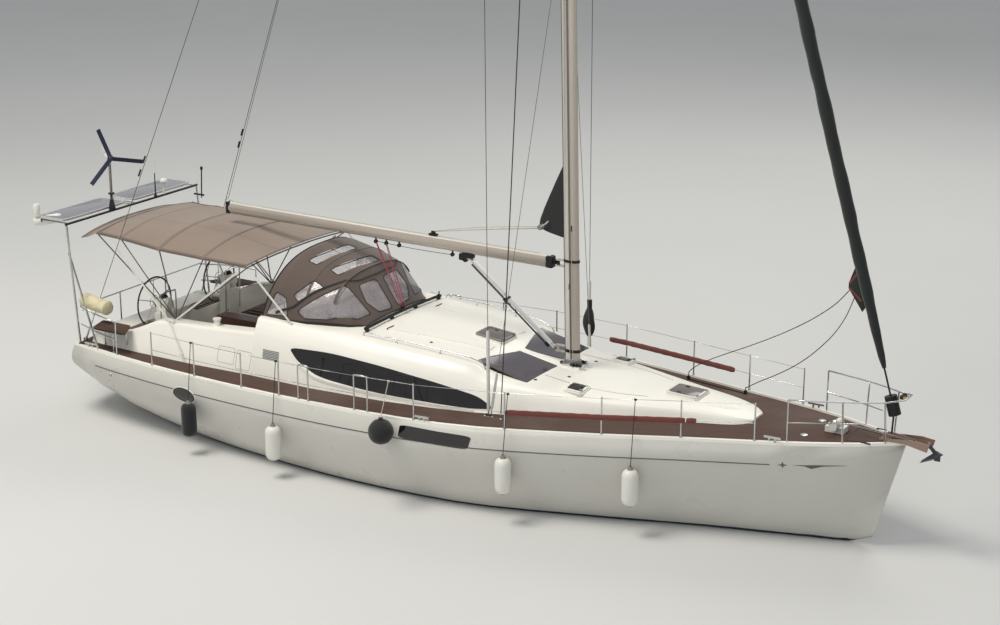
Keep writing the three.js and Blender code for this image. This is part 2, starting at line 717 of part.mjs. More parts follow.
function gooseneck() {
  const z = BOOM_PIN.z;
  const post = bar(vec(BOOM_PIN.x, 0, z - 38 + GAP), vec(BOOM_PIN.x, 0, z + 38 - GAP), 24, 12);
  const tongue = box(BOOM_PIN.x - 92, BOOM_PIN.x, -18, 18, z - 30, z + 30);
  return join([post, tongue]).subtract(crossPin(BOOM_ROOT, 60, 7 + GAP));
}
function vangToggle() {
  const z = VANG_LOW.z;
  const post = bar(vec(VANG_LOW.x, 0, z - 38 + GAP), vec(VANG_LOW.x, 0, z + 38 - GAP), 22, 12);
  const tongue = box(VANG_LOW.x - 80, VANG_LOW.x, -14, 14, z - 26, z + 26);
  return join([post, tongue]).subtract(crossPin(VANG_ROOT, 60, 7 + GAP));
}
const boomHeight = (x) => BOOM_ROOT.z + (BOOM_ROOT.x - x) * BOOM_RISE;
function boom() {
  const section = new THREE.Shape();
  section.absellipse(0, 0, 112, 70, 0, 2 * Math.PI);
  const start = BOOM_ROOT.x - 60;
  const options = { depth: start - BOOM_END_X, bevelEnabled: false, curveSegments: 4 };
  const body = new THREE.ExtrudeGeometry(section, options);
  body.rotateY(-Math.PI / 2);
  body.rotateY(Math.atan(BOOM_RISE));
  body.translate(start, 0, boomHeight(start));
  const { x, z } = BOOM_ROOT;
  const cheeks = [-34, 34].map((y) => box(x - 90, x + 24, y - 11, y + 11, z - 34, z + 34));
  const pin = crossPin(BOOM_ROOT, 40, 7);
  const endZ = boomHeight(BOOM_END_X);
  const endCap = box(BOOM_END_X - 60, BOOM_END_X + 20, -60, 60, endZ - 100, endZ + 100);
  const vang = VANG_HIGH;
  const lugTop = boomHeight(vang.x) - 80;
  const lugs = [-33, 33].map((y) => box(vang.x - 40, vang.x + 40, y - 8, y + 8, vang.z - 30, lugTop));
  return join([solid(body), ...cheeks, pin, endCap, ...lugs, crossPin(vang, 38, 8)]);
}
const vangPoint = (share) => VANG_ROOT.clone().lerp(VANG_HIGH, share);
function vangTube() {
  const shell = bar(vangPoint(0.04), vangPoint(0.56), 36, 12);
  const fork = [-1, 1].map((side) => {
    const along = bar(vangPoint(0), vangPoint(0.07), 15, 8);
    return shifted(along, 0, side * 32, 0);
  });
  const pin = crossPin(VANG_ROOT, 44, 7);
  return cut(join([shell, ...fork, pin]), [bar(vangPoint(0.16), vangPoint(0.7), 22 + 0.5, 12)]);
}
function vangRod() {
  const rod = bar(vangPoint(0.2), vangPoint(0.99), 22, 12);
  const eye = crossPin(VANG_HIGH, 22, 30);
  return join([rod, eye]).subtract(crossPin(VANG_HIGH, 60, 11));
}
// The corner of the rolled mainsail that shows outside the mast's slot, its luff along the mast
const LUFF_AFT = MAST_DEPTH / 2 + 0.6; // from the mast's axis, so that the edge swings past the mast
const CLOTH_HALF = 4;
function mainsailClew() {
  const luff = [5230, 4060].map((z) => [rigAt(z) - LUFF_AFT, z]);
  return prism([...luff, [1300, 4180], [1330, 4270]], "y", -CLOTH_HALF, CLOTH_HALF);
}
const FORESTAY_TOP = vec(MAST_HEAD.x + 120, 0, MAST_HEAD.z - 200);
const stayPoint = (share) => FORESTAY_FOOT.clone().lerp(FORESTAY_TOP, share);
// Rolled genoa: share of the stay's length, radius of the roll
const GENOA_ROLL = [
  [0.035, 42],
  [0.09, 88],
  [0.3, 100],
  [0.6, 80],
  [0.9, 42],
];
const GENOA_CLEW = [
  [6590, 4350],
  [6800, 3620],
  [6490, 3990],
];
const DRUM_TOP = 0.0118; // share of the stay
function furledGenoa() {
  const along = stayPoint(1).sub(stayPoint(0)).normalize();
  const turn = new THREE.Quaternion().setFromUnitVectors(vec(0, 0, 1), along);
  const ring = ([share, radius]) =>
    Array.from({ length: 10 }, (_, i) => {
      const angle = (i / 5) * Math.PI;
      const out = vec(radius * Math.cos(angle), radius * Math.sin(angle), 0);
      return out.applyQuaternion(turn).add(stayPoint(share));
    });
  const clew = prism(GENOA_CLEW, "y", -14, 14);
  const stay = bar(stayPoint(DRUM_TOP).add(vec(0, 0, GAP)), stayPoint(1), 16, 8);
  return join([loft(GENOA_ROLL.map(ring)), clew, stay]).subtract(shifted(mast(), GAP, 0, 0));
}
function furlerDrum() {
  const drum = bar(stayPoint(-0.003), stayPoint(DRUM_TOP), 95, 16);
  const link = bar(vec(7275, 0, BOW_FITTING_Z + 90), stayPoint(0), 15, 8);
  return join([drum, link]).subtract(shifted(bowRoller(), 0, 0, GAP));
}
function backstays() {
  const meet = vec(MAST_HEAD.x - 235, 0, MAST_HEAD.z - 110);
  const block = box(meet.x - 30, meet.x + 20, -34, 34, meet.z - 30, MAST_HEAD.z - 60 - GAP);
  const feet = [-1, 1].map((side) => vec(-7060, side * 1590, deckHeight(-7060, 1590) + 10));
  const legs = feet.map((foot) => bar(foot, vec(meet.x, Math.sign(foot.y) * 20, meet.z), 6, 6));
  const plates = feet.map((p) => box(p.x - 40, p.x + 40, p.y - 12, p.y + 12, p.z - 3, p.z + 60));
  return join([...legs, ...plates, block]).subtract(shifted(teakDeck(), 0, 0, GAP));
}
// Upright wire through the points, six-sided, with level rings so that its knees are clean
function wireStay(points, radius) {
  const ring = (p) =>
    [0, 1, 2, 3, 4, 5].map((i) => {
      const angle = (i / 3) * Math.PI;
      return vec(p.x + radius * Math.cos(angle), p.y + radius * Math.sin(angle), p.z);
    });
  return loft(points.map(ring));
}
function shrouds() {
  const foot = CHAINPLATE;
  const tips = SPREADERS.map(([z, half, aft]) => vec(rigAt(z) - aft - 12, half + 34, z + 62));
  const head = vec(MAST_HEAD.x, 86, MAST_HEAD.z - 200);
  const lower = vec(rigAt(9150) - 20, 88, 9150);
  const base = vec(foot.x, foot.y, deckHeight(foot.x, foot.y) + DECK_THICK + 4);
  const stays = join([
    wireStay([base, ...tips, head], 6),
    wireStay([vec(foot.x + 40, foot.y - 5, base.z + 30), lower], 5),
    box(foot.x - 50, foot.x + 50, foot.y - 16, foot.y + 16, base.z - 11, base.z + 40),
  ]);
  return stays.subtract(shifted(teakDeck(), 0, 0, GAP));
}

// Rails: posts stand on the cap, with wires between them
const POSTS = [-5100, -4100, -3050, -2250, -1650, -750, 350, 1850, 3300, 4450, 5500];
const POST_HEIGHT = 640;
const railPoint = (x, height) => vec(x, halfBeam(x) - 30, sheer(x) + height);
function guardRail() {
  const posts = POSTS.map((x) => bar(railPoint(x, 35), railPoint(x, POST_HEIGHT), 12.5, 6));
  const wires = [POST_HEIGHT - 20, POST_HEIGHT / 2].flatMap((height) =>
    POSTS.slice(1).map((x, i) => bar(railPoint(POSTS[i], height), railPoint(x, height), 4, 5)),
  );
  return join([...posts, ...wires]).subtract(shifted(toeRail(), 0, 0, GAP));
}
const BOW_RAIL_AFT = 5950;
const BOW_RAIL_HEIGHT = 700;
function pulpitSide(sign) {
  const low = (x, height) => vec(x, sign * (halfBeam(x) - 30), sheer(x) + height);
  const high = (x) => low(x, BOW_RAIL_HEIGHT).add(vec(0, sign * (x - BOW_RAIL_AFT) * 0.08, 0));
  const corner = vec(7500, sign * 140, sheer(7450) + 730);
  const rail = tube([...[BOW_RAIL_AFT, 6500, 7000, 7300].map(high), corner], 12.5, 6, 6);
  const legs = [BOW_RAIL_AFT, 6700, 7250].map((x) => bar(low(x, 35), high(x), 12.5, 6));
  const middle = [BOW_RAIL_AFT, 6500, 7000].map((x) => low(x, BOW_RAIL_HEIGHT / 2));
  const bars = [bar(middle[0], middle[1], 10, 6), bar(middle[1], middle[2], 10, 6)];
  return join([rail, ...legs, ...bars, ball(corner, 13, 6)]);
}
function pulpit() {
  const z = sheer(7450) + 730;
  const nose = bar(vec(7500, -140, z), vec(7500, 140, z), 12.5, 6);
  return join([pulpitSide(1), pulpitSide(-1), nose]).subtract(shifted(toeRail(), 0, 0, GAP));
}
// Stern arch: two legs a side, and the rail that runs forward from them
function archSide(sign) {
  const z = sheer(-7000) + 35;
  const onCap = (x, height) => vec(x, sign * (halfBeam(x) - 30), height);
  const legs = [
    [onCap(-7000, z), vec(ARCH_X, sign * 1760, ARCH_Z)],
    [onCap(-6500, z), vec(ARCH_X, sign * 1740, ARCH_Z - 520)],
  ].map(([from, to]) => bar(from, to, 19, 8));
  const fore = sheer(-6000);
  const rails = [320, 640].map((h) => {
    const knee = vec(-6600, sign * 1840, z + h);
    return pipe([onCap(-6000, fore + h), knee, vec(-7080, sign * 1650, z + h)], 12.5, 6);
  });
  const post = bar(onCap(-6000, fore + 35), onCap(-6000, fore + 640), 12.5, 6);
  return join([...legs, ...rails, post]);
}
function sternArch() {
  const [x, z] = [-7075, sheer(-7000) + 690];
  const beams = [
    bar(vec(ARCH_X, -1780, ARCH_Z), vec(ARCH_X, 1780, ARCH_Z), 22, 8),
    bar(vec(-7820, -1700, ARCH_Z), vec(-7820, 1700, ARCH_Z), 19, 8),
    ...[-1700, -60, 60, 1700].map((y) => bar(vec(ARCH_X, y, ARCH_Z), vec(-7820, y, ARCH_Z), 16, 6)),
    bar(vec(x, -1650, z), vec(x, 1650, z), 12.5, 6),
    ...[-620, 620].map((y) => bar(vec(x, y, z), vec(x, y, deckHeight(x, y) + 4), 12.5, 6)),
  ];
  const pads = [-1500, -300, 300, 1500].map((y) =>
    box(-7850, -7790, y - 20, y + 20, ARCH_Z, ARCH_Z + 22),
  );
  const body = join([archSide(1), archSide(-1), ...beams, ...pads]);
  return cut(body, [shifted(toeRail(), 0, 0, GAP), shifted(teakDeck(), 0, 0, GAP)]);
}
function solarPanel(sign) {
  const [low, high] = [Math.min(sign * 80, sign * 1720), Math.max(sign * 80, sign * 1720)];
  return box(-7900, -7270, low, high, ARCH_Z + 22 + GAP, ARCH_Z + 60);
}
const POLE_BOOT = [
  [0, 0],
  [62, 0],
  [62, 30],
  [34, 190],
  [0, 190],
];
function windPole() {
  const foot = vec(WIND_PIVOT.x, WIND_PIVOT.y, ARCH_Z + 10);
  const boot = turned(POLE_BOOT, 10, foot.x, foot.y, foot.z);
  const pole = bar(foot, vec(foot.x, foot.y, WIND_PIVOT.z - 60 - GAP), 24, 10);
  return join([boot, pole]).subtract(shifted(sternArch(), 0, 0, GAP));
}
// Wind generator, modelled with its nose along +X and turned to where it points
const TAIL_FIN = [
  [-400, 20],
  [-400, 170],
  [-640, 260],
  [-640, 60],
];
function windBody() {
  const pod = bar(vec(-150, 0, 70), vec(110, 0, 70), 62, 12);
  const neck = bar(vec(0, 0, -60), vec(0, 0, 30), 30, 10);
  const tail = bar(vec(-140, 0, 70), vec(-470, 0, 110), 16, 8);
  const fin = prism(TAIL_FIN, "y", -6, 6);
  return join([pod, neck, tail, fin]);
}
function windRotor() {
  const hub = bar(vec(110 + GAP, 0, 70), vec(185, 0, 70), 55, 12, 30);
  const blades = [0, 1, 2].map((i) => {
    const geometry = new THREE.BoxGeometry(9, 78, 545);
    geometry.rotateZ(0.3);
    geometry.translate(148, 0, 300);
    geometry.rotateX((i / 3) * 2 * Math.PI + 0.35);
    geometry.translate(0, 0, 70);
    return solid(geometry);
  });
  return join([hub, ...blades]);
}

// Covers
// Bimini bows: x, crown height, edge height, half width
const BOWS = [
  [-6900, 3390, 3290, 1330],
  [-6330, 3440, 3270, 1360],
  [-5400, 3470, 3215, 1450],
  [-4450, 3420, 3190, 1450],
  [-3500, 3250, 3190, 1450],
];
function arcRing(x, half, crown, edge, thick) {
  const outer = [];
  const inner = [];
  for (let i = 0; i <= 10; i += 1) {
    const share = i / 5 - 1;
    const z = edge + (crown - edge) * (1 - Math.abs(share) ** 2.4);
    outer.push(vec(x, share * half, z));
    inner.push(vec(x, share * half, z - thick));
  }
  return [...outer, ...inner.toReversed()];
}
function bimini() {
  const rings = steps(BOWS[0][0], BOWS.at(-1)[0], 480).map((x) =>
    arcRing(x, column(BOWS, 3, x), column(BOWS, 1, x), column(BOWS, 2, x), 12),
  );
  return loft(rings, true);
}
const BOW_DROP = 26; // the middle of a bow's pipe under the top of the sheet
function biminiFrame() {
  const bows = BOWS.map(([x, crown, edge, half]) => {
    const points = [-1, -0.6, 0, 0.6, 1].map((share) => {
      const rise = (crown - edge) * (1 - Math.abs(share) ** 2.4);
      return vec(x, share * (half - 40), edge - BOW_DROP + rise);
    });
    return tube(points, 12.5, 6, 8);
  });
  const foot = (side) => vec(-5150, side * 1340, column(COAMING, 3, -5150) + 4);
  const legs = [-1, 1].flatMap((side) =>
    BOWS.map(([x, , edge, half]) => bar(foot(side), vec(x, side * (half - 40), edge - BOW_DROP), 11, 6)),
  );
  const feet = [-1, 1].map((side) => ball(foot(side), 16, 6));
  const carriers = [shifted(cockpit(), 0, 0, GAP), shifted(bimini(), 0, 0, -GAP)];
  return cut(join([...bows, ...legs, ...feet]), carriers);
}
// Sprayhood sections: x, half width, foot height, crown height
const HOOD = [
  [-3420, 1350, 2150, 3320],
  [-2900, 1340, 2250, 3360],
  [-2400, 1320, 2290, 3240],
  [-1950, 1190, 2310, 3090],
  [-1680, 1080, 2310, 2700],
  [-1460, 900, 2310, 2375],
];
function hoodRing(x, half, foot, crown, inset) {
  const ring = [];
  for (let i = 0; i <= 12; i += 1) {
    const angle = (i / 12) * Math.PI;
    const y = Math.sign(Math.cos(angle)) * Math.abs(Math.cos(angle)) ** 0.75 * (half - inset);
    ring.push(vec(x, y, foot + (crown - foot - inset) * Math.sin(angle) ** 0.75));
  }
  return ring;
}
function hoodShape(inset, aft) {
  const rings = HOOD.map(([x, half, foot, crown]) => hoodRing(x - inset, half, foot, crown, inset));
  if (aft) rings.unshift(hoodRing(aft, HOOD[0][1], HOOD[0][2], HOOD[0][3], inset));
  return loft(rings);
}
// What is cut off the hood behind its aft edge, in x and z
const HOOD_OPEN = [
  [-3700, 1900],
  [-3340, 1900],
  [-3340, 2230],
  [-2950, 3500],
  [-3700, 3500],
];
function sprayhood() {
  const inner = shifted(hoodShape(14, -3600), 0, 0, -1);
  const shell = hoodShape(0).subtract(inner);
  return cut(shell, [shifted(roofOuter, 0, 0, GAP), prism(HOOD_OPEN, "y", -2000, 2000)]);
}
function hoodFrame() {
  const bows = [1, 3].map((row) => {
    const [x, half, foot, crown] = HOOD[row];
    const ring = hoodRing(x, half, foot, crown, 72);
    return tube(ring.filter((_, i) => i % 2 === 0), 12, 6, 12);
  });
  const [aft, fore] = [HOOD[1], HOOD[3]];
  const ridge = bar(vec(aft[0], 0, aft[3] - 72), vec(fore[0], 0, fore[3] - 72), 8, 6);
  return join([...bows, ridge]).subtract(shifted(roofOuter, 0, 0, GAP));
}

// Deck gear
// Bow fitting: two channels side by side, the plate between them carries the forestay
const BOW_FITTING_Z = sheer(BOW) + RAIL_HEIGHT - 4;
const CHANNEL_Y = -72; // middle of the channel that holds the anchor
// Side outlines of the bow gear, in x and height over the fitting
const CHEEK = [
  [7130, 4],
  [7540, 4],
  [7860, -60],
  [7900, 60],
  [7700, 84],
  [7130, 40],
];
const TANG = [
  [7130, 4],
  [7540, 4],
  [7700, -30],
  [7640, 60],
  [7330, 110],
  [7220, 110],
];
const CHANNEL_FLOOR = [
  [7130, 4],
  [7540, 4],
  [7800, -34],
  [7800, -20],
  [7540, 16],
  [7130, 16],
];
const SHANK = [
  [7300, 20],
  [7890, 20],
  [8050, -120],
  [8000, -165],
  [7905, -60],
  [7850, 0],
  [7300, 0],
];
function bowPlate(outline, height, y, half) {
  return prism(outline.map(([x, z]) => [x, z + height]), "y", y - half, y + half);
}
function bowRoller() {
  const z = BOW_FITTING_Z;
  const cheeks = [-130, 130].map((y) => bowPlate(CHEEK, z, y, 5));
  const plates = [bowPlate(TANG, z, 0, 9), bowPlate(CHANNEL_FLOOR, z, 0, 130)];
  const rollers = [-72, 72].map((y) => bar(vec(7830, y - 58, z), vec(7830, y + 58, z), 30, 12));
  const shaft = bar(vec(7830, -133, z), vec(7830, 133, z), 9, 8);
  return join([...cheeks, ...plates, ...rollers, shaft]).subtract(shifted(toeRail(), 0, 0, GAP));
}
function anchor() {
  const z = BOW_FITTING_Z + 30 + GAP;
  const y = CHANNEL_Y;
  const flukes = [-1, 1].map((side) =>
    loft([
      [vec(8095, y, z - 95), vec(8070, y + side * 30, z - 110), vec(8060, y, z - 125)],
      [vec(7950, y, z - 190), vec(7930, y + side * 200, z - 130), vec(7920, y, z - 215)],
      [vec(7760, y, z - 275), vec(7760, y + side * 60, z - 262), vec(7750, y, z - 290)],
    ]),
  );
  const crown = box(7960, 8050, y - 13, y + 13, z - 210, z - 105);
  return join([bowPlate(SHANK, z, y, 12), ...flukes, crown]);
}
function windlass() {
  const x = 6420;
  const z = deckHeight(x, 0) + DECK_THICK + GAP;
  const base = box(x - 150, x + 150, -95, 95, z, z + 90);
  const drum = bar(vec(x, -170, z + 110), vec(x, 150, z + 110), 62, 14);
  return join([base, drum]).subtract(shifted(aboveHull, 0, 0, DECK_THICK + GAP));
}
// Fenders on the starboard side: name, x, height of the middle, radius, length
const FENDERS = [
  ["fender_quarter", -4150, 640, 130, 620],
  ["fender_waist", -2295, 620, 130, 620],
  ["fender_beam", 1900, 810, 130, 620],
  ["fender_bow", 3790, 810, 130, 620],
];
// Knot of a fender's line, round the top wire of the guard rail
function wireAt(x, height) {
  const i = POSTS.findIndex((post) => post > x);
  const [a, b] = [railPoint(POSTS[i - 1], height), railPoint(POSTS[i], height)];
  return { a, b, at: a.clone().lerp(b, (x - a.x) / (b.x - a.x)) };
}
function knot(x) {
  const { a, b, at } = wireAt(x, POST_HEIGHT - 20);
  const block = box(x - 14, x + 14, at.y - 12, at.y + 12, at.z - 16, at.z + 9);
  return mirrored(block.subtract(bar(a, b, 4 + GAP, 5)));
}
function topsideAt(x, z) {
  const [b, top, floor, side, bottom] = [1, 2, 3, 5, 6].map((i) => column(HULL, i, x));
  const down = ((top - z) / (top - floor)) ** (bottom / 2);
  return b * Math.cos(Math.asin(down)) ** (2 / side);
}
function fender([, x, z, radius, length]) {
  const y = -(Math.max(topsideAt(x, z), topsideAt(x, z + length / 2)) + radius + 8);
  const half = length / 2;
  const profile = [
    [0, -half],
    [radius * 0.6, -half + 20],
    [radius, -half + 110],
    [radius, half - 110],
    [radius * 0.5, half - 20],
    [28, half + 30],
    [0, half + 30],
  ];
  const top = wireAt(x, POST_HEIGHT - 20).at;
  const line = bar(vec(x, y, z + half + 20), vec(x, -top.y, top.z - 12), 6, 6);
  return join([turned(profile, 12, x, y, z), knot(x), line]);
}
function ballFender() {
  const [x, z, radius] = [-90, 1270, 205];
  const y = -(topsideAt(x, z) + radius + 8);
  const top = wireAt(x, POST_HEIGHT - 20).at;
  const line = bar(vec(x, y, z + radius - 10), vec(x, -top.y, top.z - 12), 6, 6);
  return join([ball(vec(x, y, z), radius, 16), knot(x), line]);
}

// Genoa sheets, hanging from the clew to two blocks on the port side deck
const LEAD_TOP = 75; // height of a block over the hull's deck
const LEADS = [
  [3300, 1430],
  [4460, 1090],
];
const leadTop = ([x, y]) => vec(x, y, deckHeight(x, y) + LEAD_TOP);
function sheetLeads() {
  const foot = LEADS.map(([x, y]) => vec(x, y, deckHeight(x, y) + DECK_THICK + 6));
  const track = bar(foot[0], foot[1], 11, 6);
  const blocks = LEADS.map(leadTop).map((p) => box(p.x - 22, p.x + 22, p.y - 16, p.y + 16, p.z - 68, p.z));
  return join([track, ...blocks]).subtract(shifted(teakDeck(), 0, 0, GAP));
}
const SHEETS = {
  genoa_sheet_aft: [
    [6560, 14.3, 4000], [6560, 60, 4000], [6450, 140, 3870], [6200, 240, 3590], [5850, 370, 3300],
    [5450, 530, 3020], [5000, 710, 2740], [4550, 890, 2480], [4150, 1050, 2260], [3780, 1200, 2050],
    [3480, 1330, 1850], [3330, 1410, 1720],
  ],
  genoa_sheet_fore: [
    [6610, 14.3, 3925], [6610, 60, 3925], [6530, 140, 3760], [6380, 250, 3430], [6180, 370, 3120],
    [5950, 490, 2850], [5680, 620, 2580], [5380, 750, 2330], [5050, 880, 2100], [4760, 990, 1920],
    [4550, 1060, 1780], [4475, 1085, 1730],
  ],
};
const SHEET_RADIUS = 7;
function genoaSheet(name) {
  const end = leadTop(LEADS[Object.keys(SHEETS).indexOf(name)]);
  const last = [end.clone().add(vec(0, 0, 50)), end.clone().add(vec(0, 0, GAP))];
  return tube([...SHEETS[name].map((p) => vec(...p)), ...last], SHEET_RADIUS, 8, 38);
}

// The yacht
const yacht = new THREE.Group();
function add(name, body, material) {
  yacht.add(mesh(name, body, material));
}
add("hull", hull(), gelcoat);
add("toe_rail", toeRail(), gelcoat);
add("teak_deck", teakDeck(), teak);
add("coachroof", coachroof(), deckWhite);
add("cockpit", cockpit(), deckWhite);
add("cockpit_table", cockpitTable(), teak);
for (const [side, turn] of [["port", (s) => s], ["starboard", mirrored]]) {
  add("saloon_window_" + side, turn(pane(shrunkPrism(SALOON_WINDOW, "y", 1000, 2200, 0.998))), tinted);
  add("roof_pane_" + side, turn(pane(shrunkPrism(ROOF_PANE, "z", 1700, 2400, 0.9992))), tinted);
}
for (const row of HATCHES) add(row[0], hatchLid(row), tinted);
add("sliding_hatch", slidingHatch(), deckWhite);
add("washboard", washboard(), tinted);
add("wheel_port", wheel(1), steel);
add("wheel_starboard", wheel(-1), steel);
add("keel", keel(), antifoul);
add("rudder", rudder(), antifoul);
add("propeller", propeller(), bronze);
add("shaft_strut", shaftStrut(), bronze);
add("engine", engine(), iron);
add("mast", mast(), alloy);
add("gooseneck", gooseneck(), steel);
add("boom", boom(), alloy);
add("vang_toggle", vangToggle(), steel);
add("vang_tube", vangTube(), alloy);
add("vang_rod", vangRod(), steel);
add("mainsail_clew", mainsailClew(), blackCloth);
add("furled_genoa", furledGenoa(), blackCloth);
add("furler_drum", furlerDrum(), iron);
add("backstays", backstays(), steel);
add("shrouds_port", shrouds(), steel);
add("shrouds_starboard", mirrored(shrouds()), steel);
add("guard_rail_port", guardRail(), steel);
add("guard_rail_starboard", mirrored(guardRail()), steel);
add("pulpit", pulpit(), steel);
add("stern_arch", sternArch(), steel);
add("solar_panel_port", solarPanel(1), panelGlass);
add("solar_panel_starboard", solarPanel(-1), panelGlass);
add("wind_pole", windPole(), steel);
const generator = new THREE.Group();
generator.position.copy(WIND_PIVOT);
generator.rotation.z = WIND_YAW;
generator.add(mesh("wind_generator", windBody(), whitePlastic));
generator.add(mesh("wind_rotor", windRotor(), navyPlastic));
yacht.add(generator);
add("bimini", bimini(), canvas);
add("bimini_frame", biminiFrame(), steel);
add("sprayhood", sprayhood(), hoodCanvas);
add("sprayhood_frame", hoodFrame(), steel);
add("bow_roller", bowRoller(), steel);
add("anchor", anchor(), steel);
add("windlass", windlass(), whitePlastic);
for (const row of FENDERS) add(row[0], fender(row), whitePlastic);
add("fender_round", ballFender(), rubber);
add("sheet_leads", sheetLeads(), iron);
for (const name of Object.keys(SHEETS)) add(name, genoaSheet(name), blackCloth);

export default yacht;
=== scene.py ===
"""Finishes, canvas, rigging and deck fittings of a cruising sailing yacht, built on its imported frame."""

import json
import math

import bpy
from mathutils import Matrix, Vector
from mathutils.bvhtree import BVHTree

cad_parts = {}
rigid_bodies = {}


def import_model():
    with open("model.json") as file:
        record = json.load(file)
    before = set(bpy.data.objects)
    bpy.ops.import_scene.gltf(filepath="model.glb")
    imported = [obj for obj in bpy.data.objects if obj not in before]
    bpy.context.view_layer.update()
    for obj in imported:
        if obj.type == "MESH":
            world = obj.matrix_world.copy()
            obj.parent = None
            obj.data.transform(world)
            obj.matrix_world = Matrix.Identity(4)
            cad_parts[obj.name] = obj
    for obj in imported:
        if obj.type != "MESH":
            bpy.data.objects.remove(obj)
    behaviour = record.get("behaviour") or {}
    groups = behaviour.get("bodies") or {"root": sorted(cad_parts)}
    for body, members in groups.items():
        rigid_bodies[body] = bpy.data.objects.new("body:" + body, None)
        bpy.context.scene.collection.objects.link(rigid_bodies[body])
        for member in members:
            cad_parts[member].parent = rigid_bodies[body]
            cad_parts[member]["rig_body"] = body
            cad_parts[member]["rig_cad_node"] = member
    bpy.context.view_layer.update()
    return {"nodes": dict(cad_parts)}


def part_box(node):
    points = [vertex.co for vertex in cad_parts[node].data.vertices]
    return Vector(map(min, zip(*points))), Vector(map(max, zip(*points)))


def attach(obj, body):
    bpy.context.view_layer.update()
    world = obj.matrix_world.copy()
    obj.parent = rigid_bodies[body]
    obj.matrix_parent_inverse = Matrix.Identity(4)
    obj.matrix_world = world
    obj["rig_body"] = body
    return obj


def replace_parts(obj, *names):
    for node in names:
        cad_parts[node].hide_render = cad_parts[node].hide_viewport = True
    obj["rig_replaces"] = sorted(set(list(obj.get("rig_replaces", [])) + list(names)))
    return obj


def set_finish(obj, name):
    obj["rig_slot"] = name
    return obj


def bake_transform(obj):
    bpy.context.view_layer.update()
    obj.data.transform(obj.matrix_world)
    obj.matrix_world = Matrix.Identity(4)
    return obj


bl_info = {
    "name": "Sailing yacht finishes",
    "version": (1, 0, 0),
    "blender": (4, 5, 0),
    "location": "3D View > Sidebar > Yacht",
    "description": "Builds the looks of a cruising sailing yacht on its packed frame",
    "category": "Object",
}

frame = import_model()
NODES = frame["nodes"]
ROOT = "yacht"
UP = (0, 0, 1)
ACROSS = (0, 1, 0)
SIDES = {"starboard": -1, "port": 1}


# Colours and sizes that a user would change


def colour(red, green, blue):
    """Linear colour from screen values of 0 to 255."""
    return tuple(
        c / 12.92 if c <= 0.04045 else ((c + 0.055) / 1.055) ** 2.4
        for c in (red / 255, green / 255, blue / 255)
    )


def tint(label, note, red, green, blue):
    return bpy.props.FloatVectorProperty(
        name=label,
        description=note,
        default=colour(red, green, blue),
        size=3,
        min=0,
        max=1,
        subtype="COLOR",
    )


def measure(label, note, metres, low=0.0005, high=2.0):
    return bpy.props.FloatProperty(
        name=label,
        description=note,
        default=metres,
        min=low,
        max=high,
        unit="LENGTH",
        subtype="DISTANCE",
        precision=4,
    )


class YachtColours(bpy.types.PropertyGroup):
    # Hull colour: partly the topsides' own off-white, partly painted shade, since the hull's near side
    # stands in shade while the roof is lit
    hull: tint("Hull", "Gelcoat of the topsides", 205, 203, 195)
    deck: tint("Deck mouldings", "Gelcoat of the coachroof and cockpit", 246, 243, 233)
    antifoul: tint("Antifouling", "Paint below the waterline", 34, 40, 50)
    teak: tint("Teak", "Weathered teak of the decks", 80, 58, 48)
    caulk: tint("Caulking", "Black seams between the planks", 30, 26, 24)
    pane: tint("Panes", "Smoked glazing", 26, 22, 22)
    mast: tint("Spars", "Painted mast and boom", 186, 176, 164)
    canopy: tint("Canopy", "Cloth of the bimini", 136, 120, 107)
    hood: tint("Sprayhood", "Cloth of the sprayhood", 92, 79, 71)
    trim: tint("Canvas trim", "Binding along the canvas edges", 62, 52, 47)
    genoa: tint("Genoa cover", "Sun strip of the rolled headsail", 24, 31, 28)
    sleeve: tint("Rail sleeves", "Padding round the guard wires", 110, 56, 48)
    mainsheet: tint("Mainsheet", "Rope of the mainsheet", 158, 70, 82)


class YachtSizes(bpy.types.PropertyGroup):
    plank: measure("Plank width", "Teak plank with its seam", 0.055)
    seam: measure("Seam width", "Black seam between planks", 0.006)
    stripe: measure("Stripe height", "Height of the line along the topsides", 0.017)
    stripe_drop: measure("Stripe drop", "How far the line lies under the deck edge", 0.31)
    canvas: measure("Canvas thickness", "Thickness of the canopy cloth", 0.004)
    sheet: measure("Sheet radius", "Radius of the genoa sheets", 0.007)
    antifoul_top: measure("Antifouling top", "Height of the paint edge over the water", 0.05)


def colours():
    return bpy.context.scene.yacht_colours


def sizes():
    return bpy.context.scene.yacht_sizes


# Shader sums


class Term:
    """A shader socket, whose sums and products add Math nodes."""

    def __init__(self, shader, socket):
        self.shader = shader
        self.socket = socket

    def math(self, operation, *others):
        values = dict(enumerate((self, *others)))
        return self.shader.node("ShaderNodeMath", values, operation=operation)

    def __add__(self, other):
        return self.math("ADD", other)

    def __radd__(self, other):
        return self.math("ADD", other)

    def __sub__(self, other):
        return self.math("SUBTRACT", other)

    def __rsub__(self, other):
        return self.shader.node(
            "ShaderNodeMath", {0: other, 1: self}, operation="SUBTRACT"
        )

    def __mul__(self, other):
        return self.math("MULTIPLY", other)

    def __rmul__(self, other):
        return self.math("MULTIPLY", other)

    def __truediv__(self, other):
        return self.math("DIVIDE", other)

    def __abs__(self):
        return self.math("ABSOLUTE")

    def __lt__(self, other):
        return self.math("LESS_THAN", other)

    def part(self, size):
        """How far into its cell a value lies, from 0 to 1, for cells of that size."""
        return (self / size).math("FRACT")

    def soft(self, low, high):
        """Smooth step from 0 at low to 1 at high."""
        return self.shader.node(
            "ShaderNodeMapRange",
            {"Value": self, "From Min": low, "From Max": high},
            interpolation_type="SMOOTHSTEP",
        )


